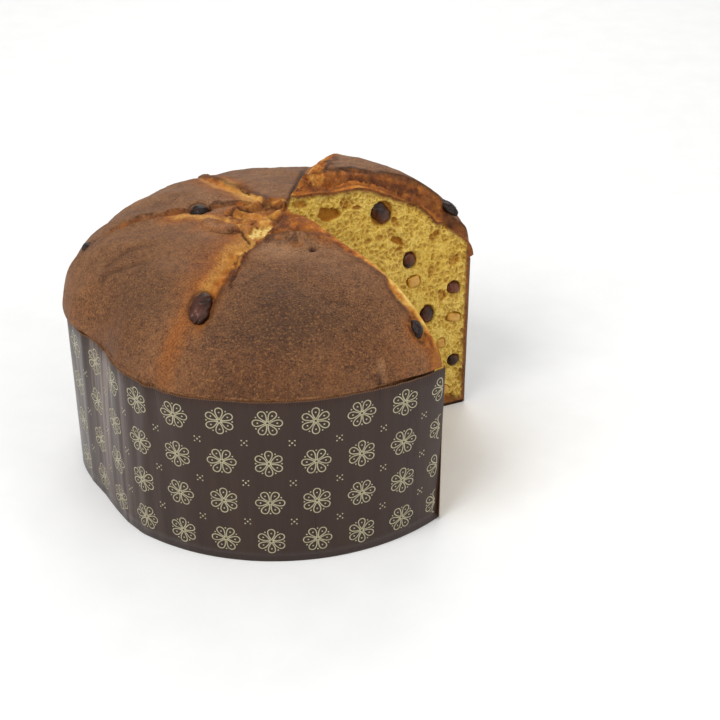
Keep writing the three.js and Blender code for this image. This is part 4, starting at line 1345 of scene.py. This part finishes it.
def dot(x, y, radius):
    """A small filled octagon, as three four-sided faces."""
    angle = np.arange(8) * math.pi / 4 + math.pi / 8
    points = np.stack([x + radius * np.cos(angle), y + radius * np.sin(angle)], -1)
    return points, np.array([[0, 1, 2, 3], [0, 3, 4, 7], [4, 5, 6, 7]])


def gather(shapes):
    """Several flat shapes as one list of points and faces."""
    points, faces, count = [], [], 0
    for shape_points, shape_faces in shapes:
        points.append(shape_points)
        faces.append(shape_faces + count)
        count += len(shape_points)
    return np.concatenate(points), np.concatenate(faces)


def flower():
    """Petal outlines round a small ring. A petal runs out by L (1 - cos s) / 2 and is
    W/2 sin s (1 - 0.5 cos s) wide, so it is broadest near its end."""
    s = np.linspace(0, 2 * math.pi, 26, endpoint=False)
    out = PETAL_START + PETAL_LENGTH * (1 - np.cos(s)) / 2
    side = PETAL_WIDTH / 2 * np.sin(s) * (1 - 0.5 * np.cos(s)) * 0.9
    ring = np.stack([RING_RADIUS * np.cos(-s), RING_RADIUS * np.sin(-s)], -1)
    shapes = [ribbon(ring, 0.5)]
    for number in range(PETALS):
        turn = number * 2 * math.pi / PETALS
        petal = np.stack([out * math.cos(turn) - side * math.sin(turn),
                          out * math.sin(turn) + side * math.cos(turn)], -1)
        shapes.append(ribbon(petal[::-1], LINE_WIDTH))
        for (reach, radius), angle in ((PETAL_DOT, turn), (OUTER_DOT, turn + math.pi / PETALS)):
            shapes.append(dot(reach * math.cos(angle), reach * math.sin(angle), radius))
    return gather(shapes)


def dot_cross():
    """Four dots round a fifth."""
    dots = [dot(0, 0, DOT_RADIUS)]
    for turn in np.arange(4) * math.pi / 2:
        x, y = CROSS_REACH * math.cos(turn), CROSS_REACH * math.sin(turn)
        dots.append(dot(x, y, DOT_RADIUS * 0.8))
    return gather(dots)


def stamp(shape, centres, turns):
    """A flat shape repeated at centres, each copy turned by its own angle."""
    points, faces = shape
    cos, sin = np.cos(turns)[:, None], np.sin(turns)[:, None]
    x = centres[:, :1] + points[:, 0] * cos - points[:, 1] * sin
    y = centres[:, 1:] + points[:, 0] * sin + points[:, 1] * cos
    copies = np.arange(len(centres))[:, None, None] * len(points)
    return np.stack([x, y], -1).reshape(-1, 2), (faces[None] + copies).reshape(-1, 4)


start = azimuth_of_cut(FAR_CUT, case_radius)
end = math.radians(CASE_NEAR_RIM) + 2 * math.pi
span = (end - start) * case_radius
across, up = np.meshgrid(np.arange(int(span / FLOWER_PITCH) + 2), np.arange(FLOWER_ROWS),
                         indexing="ij")
centres = np.stack([across.ravel() * FLOWER_PITCH + FLOWER_FIRST,
                    FLOWER_ROW_FIRST + up.ravel() * FLOWER_PITCH], -1)
turns = np.where((across + up).ravel() % 2 == 0, 0.0, math.pi / PETALS)
crosses = centres + FLOWER_PITCH / 2
crosses = crosses[crosses[:, 1] < case_height - CROSS_RIM_MARGIN]
print_points, print_faces = gather([
    stamp(flower(), centres, turns),
    stamp(dot_cross(), crosses, np.full(len(crosses), math.pi / 4)),
])
inside = ((print_points[:, 0] > END_MARGIN) & (print_points[:, 0] < span - END_MARGIN)
          & (print_points[:, 1] > FOOT_MARGIN) & (print_points[:, 1] < case_height - RIM_MARGIN))
print_faces = print_faces[inside[print_faces].all(1)]
used, print_faces = np.unique(print_faces, return_inverse=True)
print_faces = print_faces.reshape(-1, 4)
azimuth = start + print_points[used, 0] / case_radius
height = print_points[used, 1]
radius = wall_radius(azimuth, height) - FILM_INSET + INK_LIFT
case_print = lay_faces("case_print", np.stack([
    radius * np.cos(azimuth), radius * np.sin(azimuth), height], -1), print_faces)

pale_ink, tree, shader, place = start_material("pale_ink")
wear = noise(tree, place, 500.0, 3.0)
tree.links.new(blend(tree, remap(tree, wear, 0.3, 0.7), paint(150, 142, 112), paint(178, 170, 138)),
               shader.inputs["Base Color"])
tree.links.new(remap(tree, wear, 0.3, 0.7, 0.3, 0.42), shader.inputs["Roughness"])
case_print.data.materials.append(pale_ink)
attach(case_print, "root")
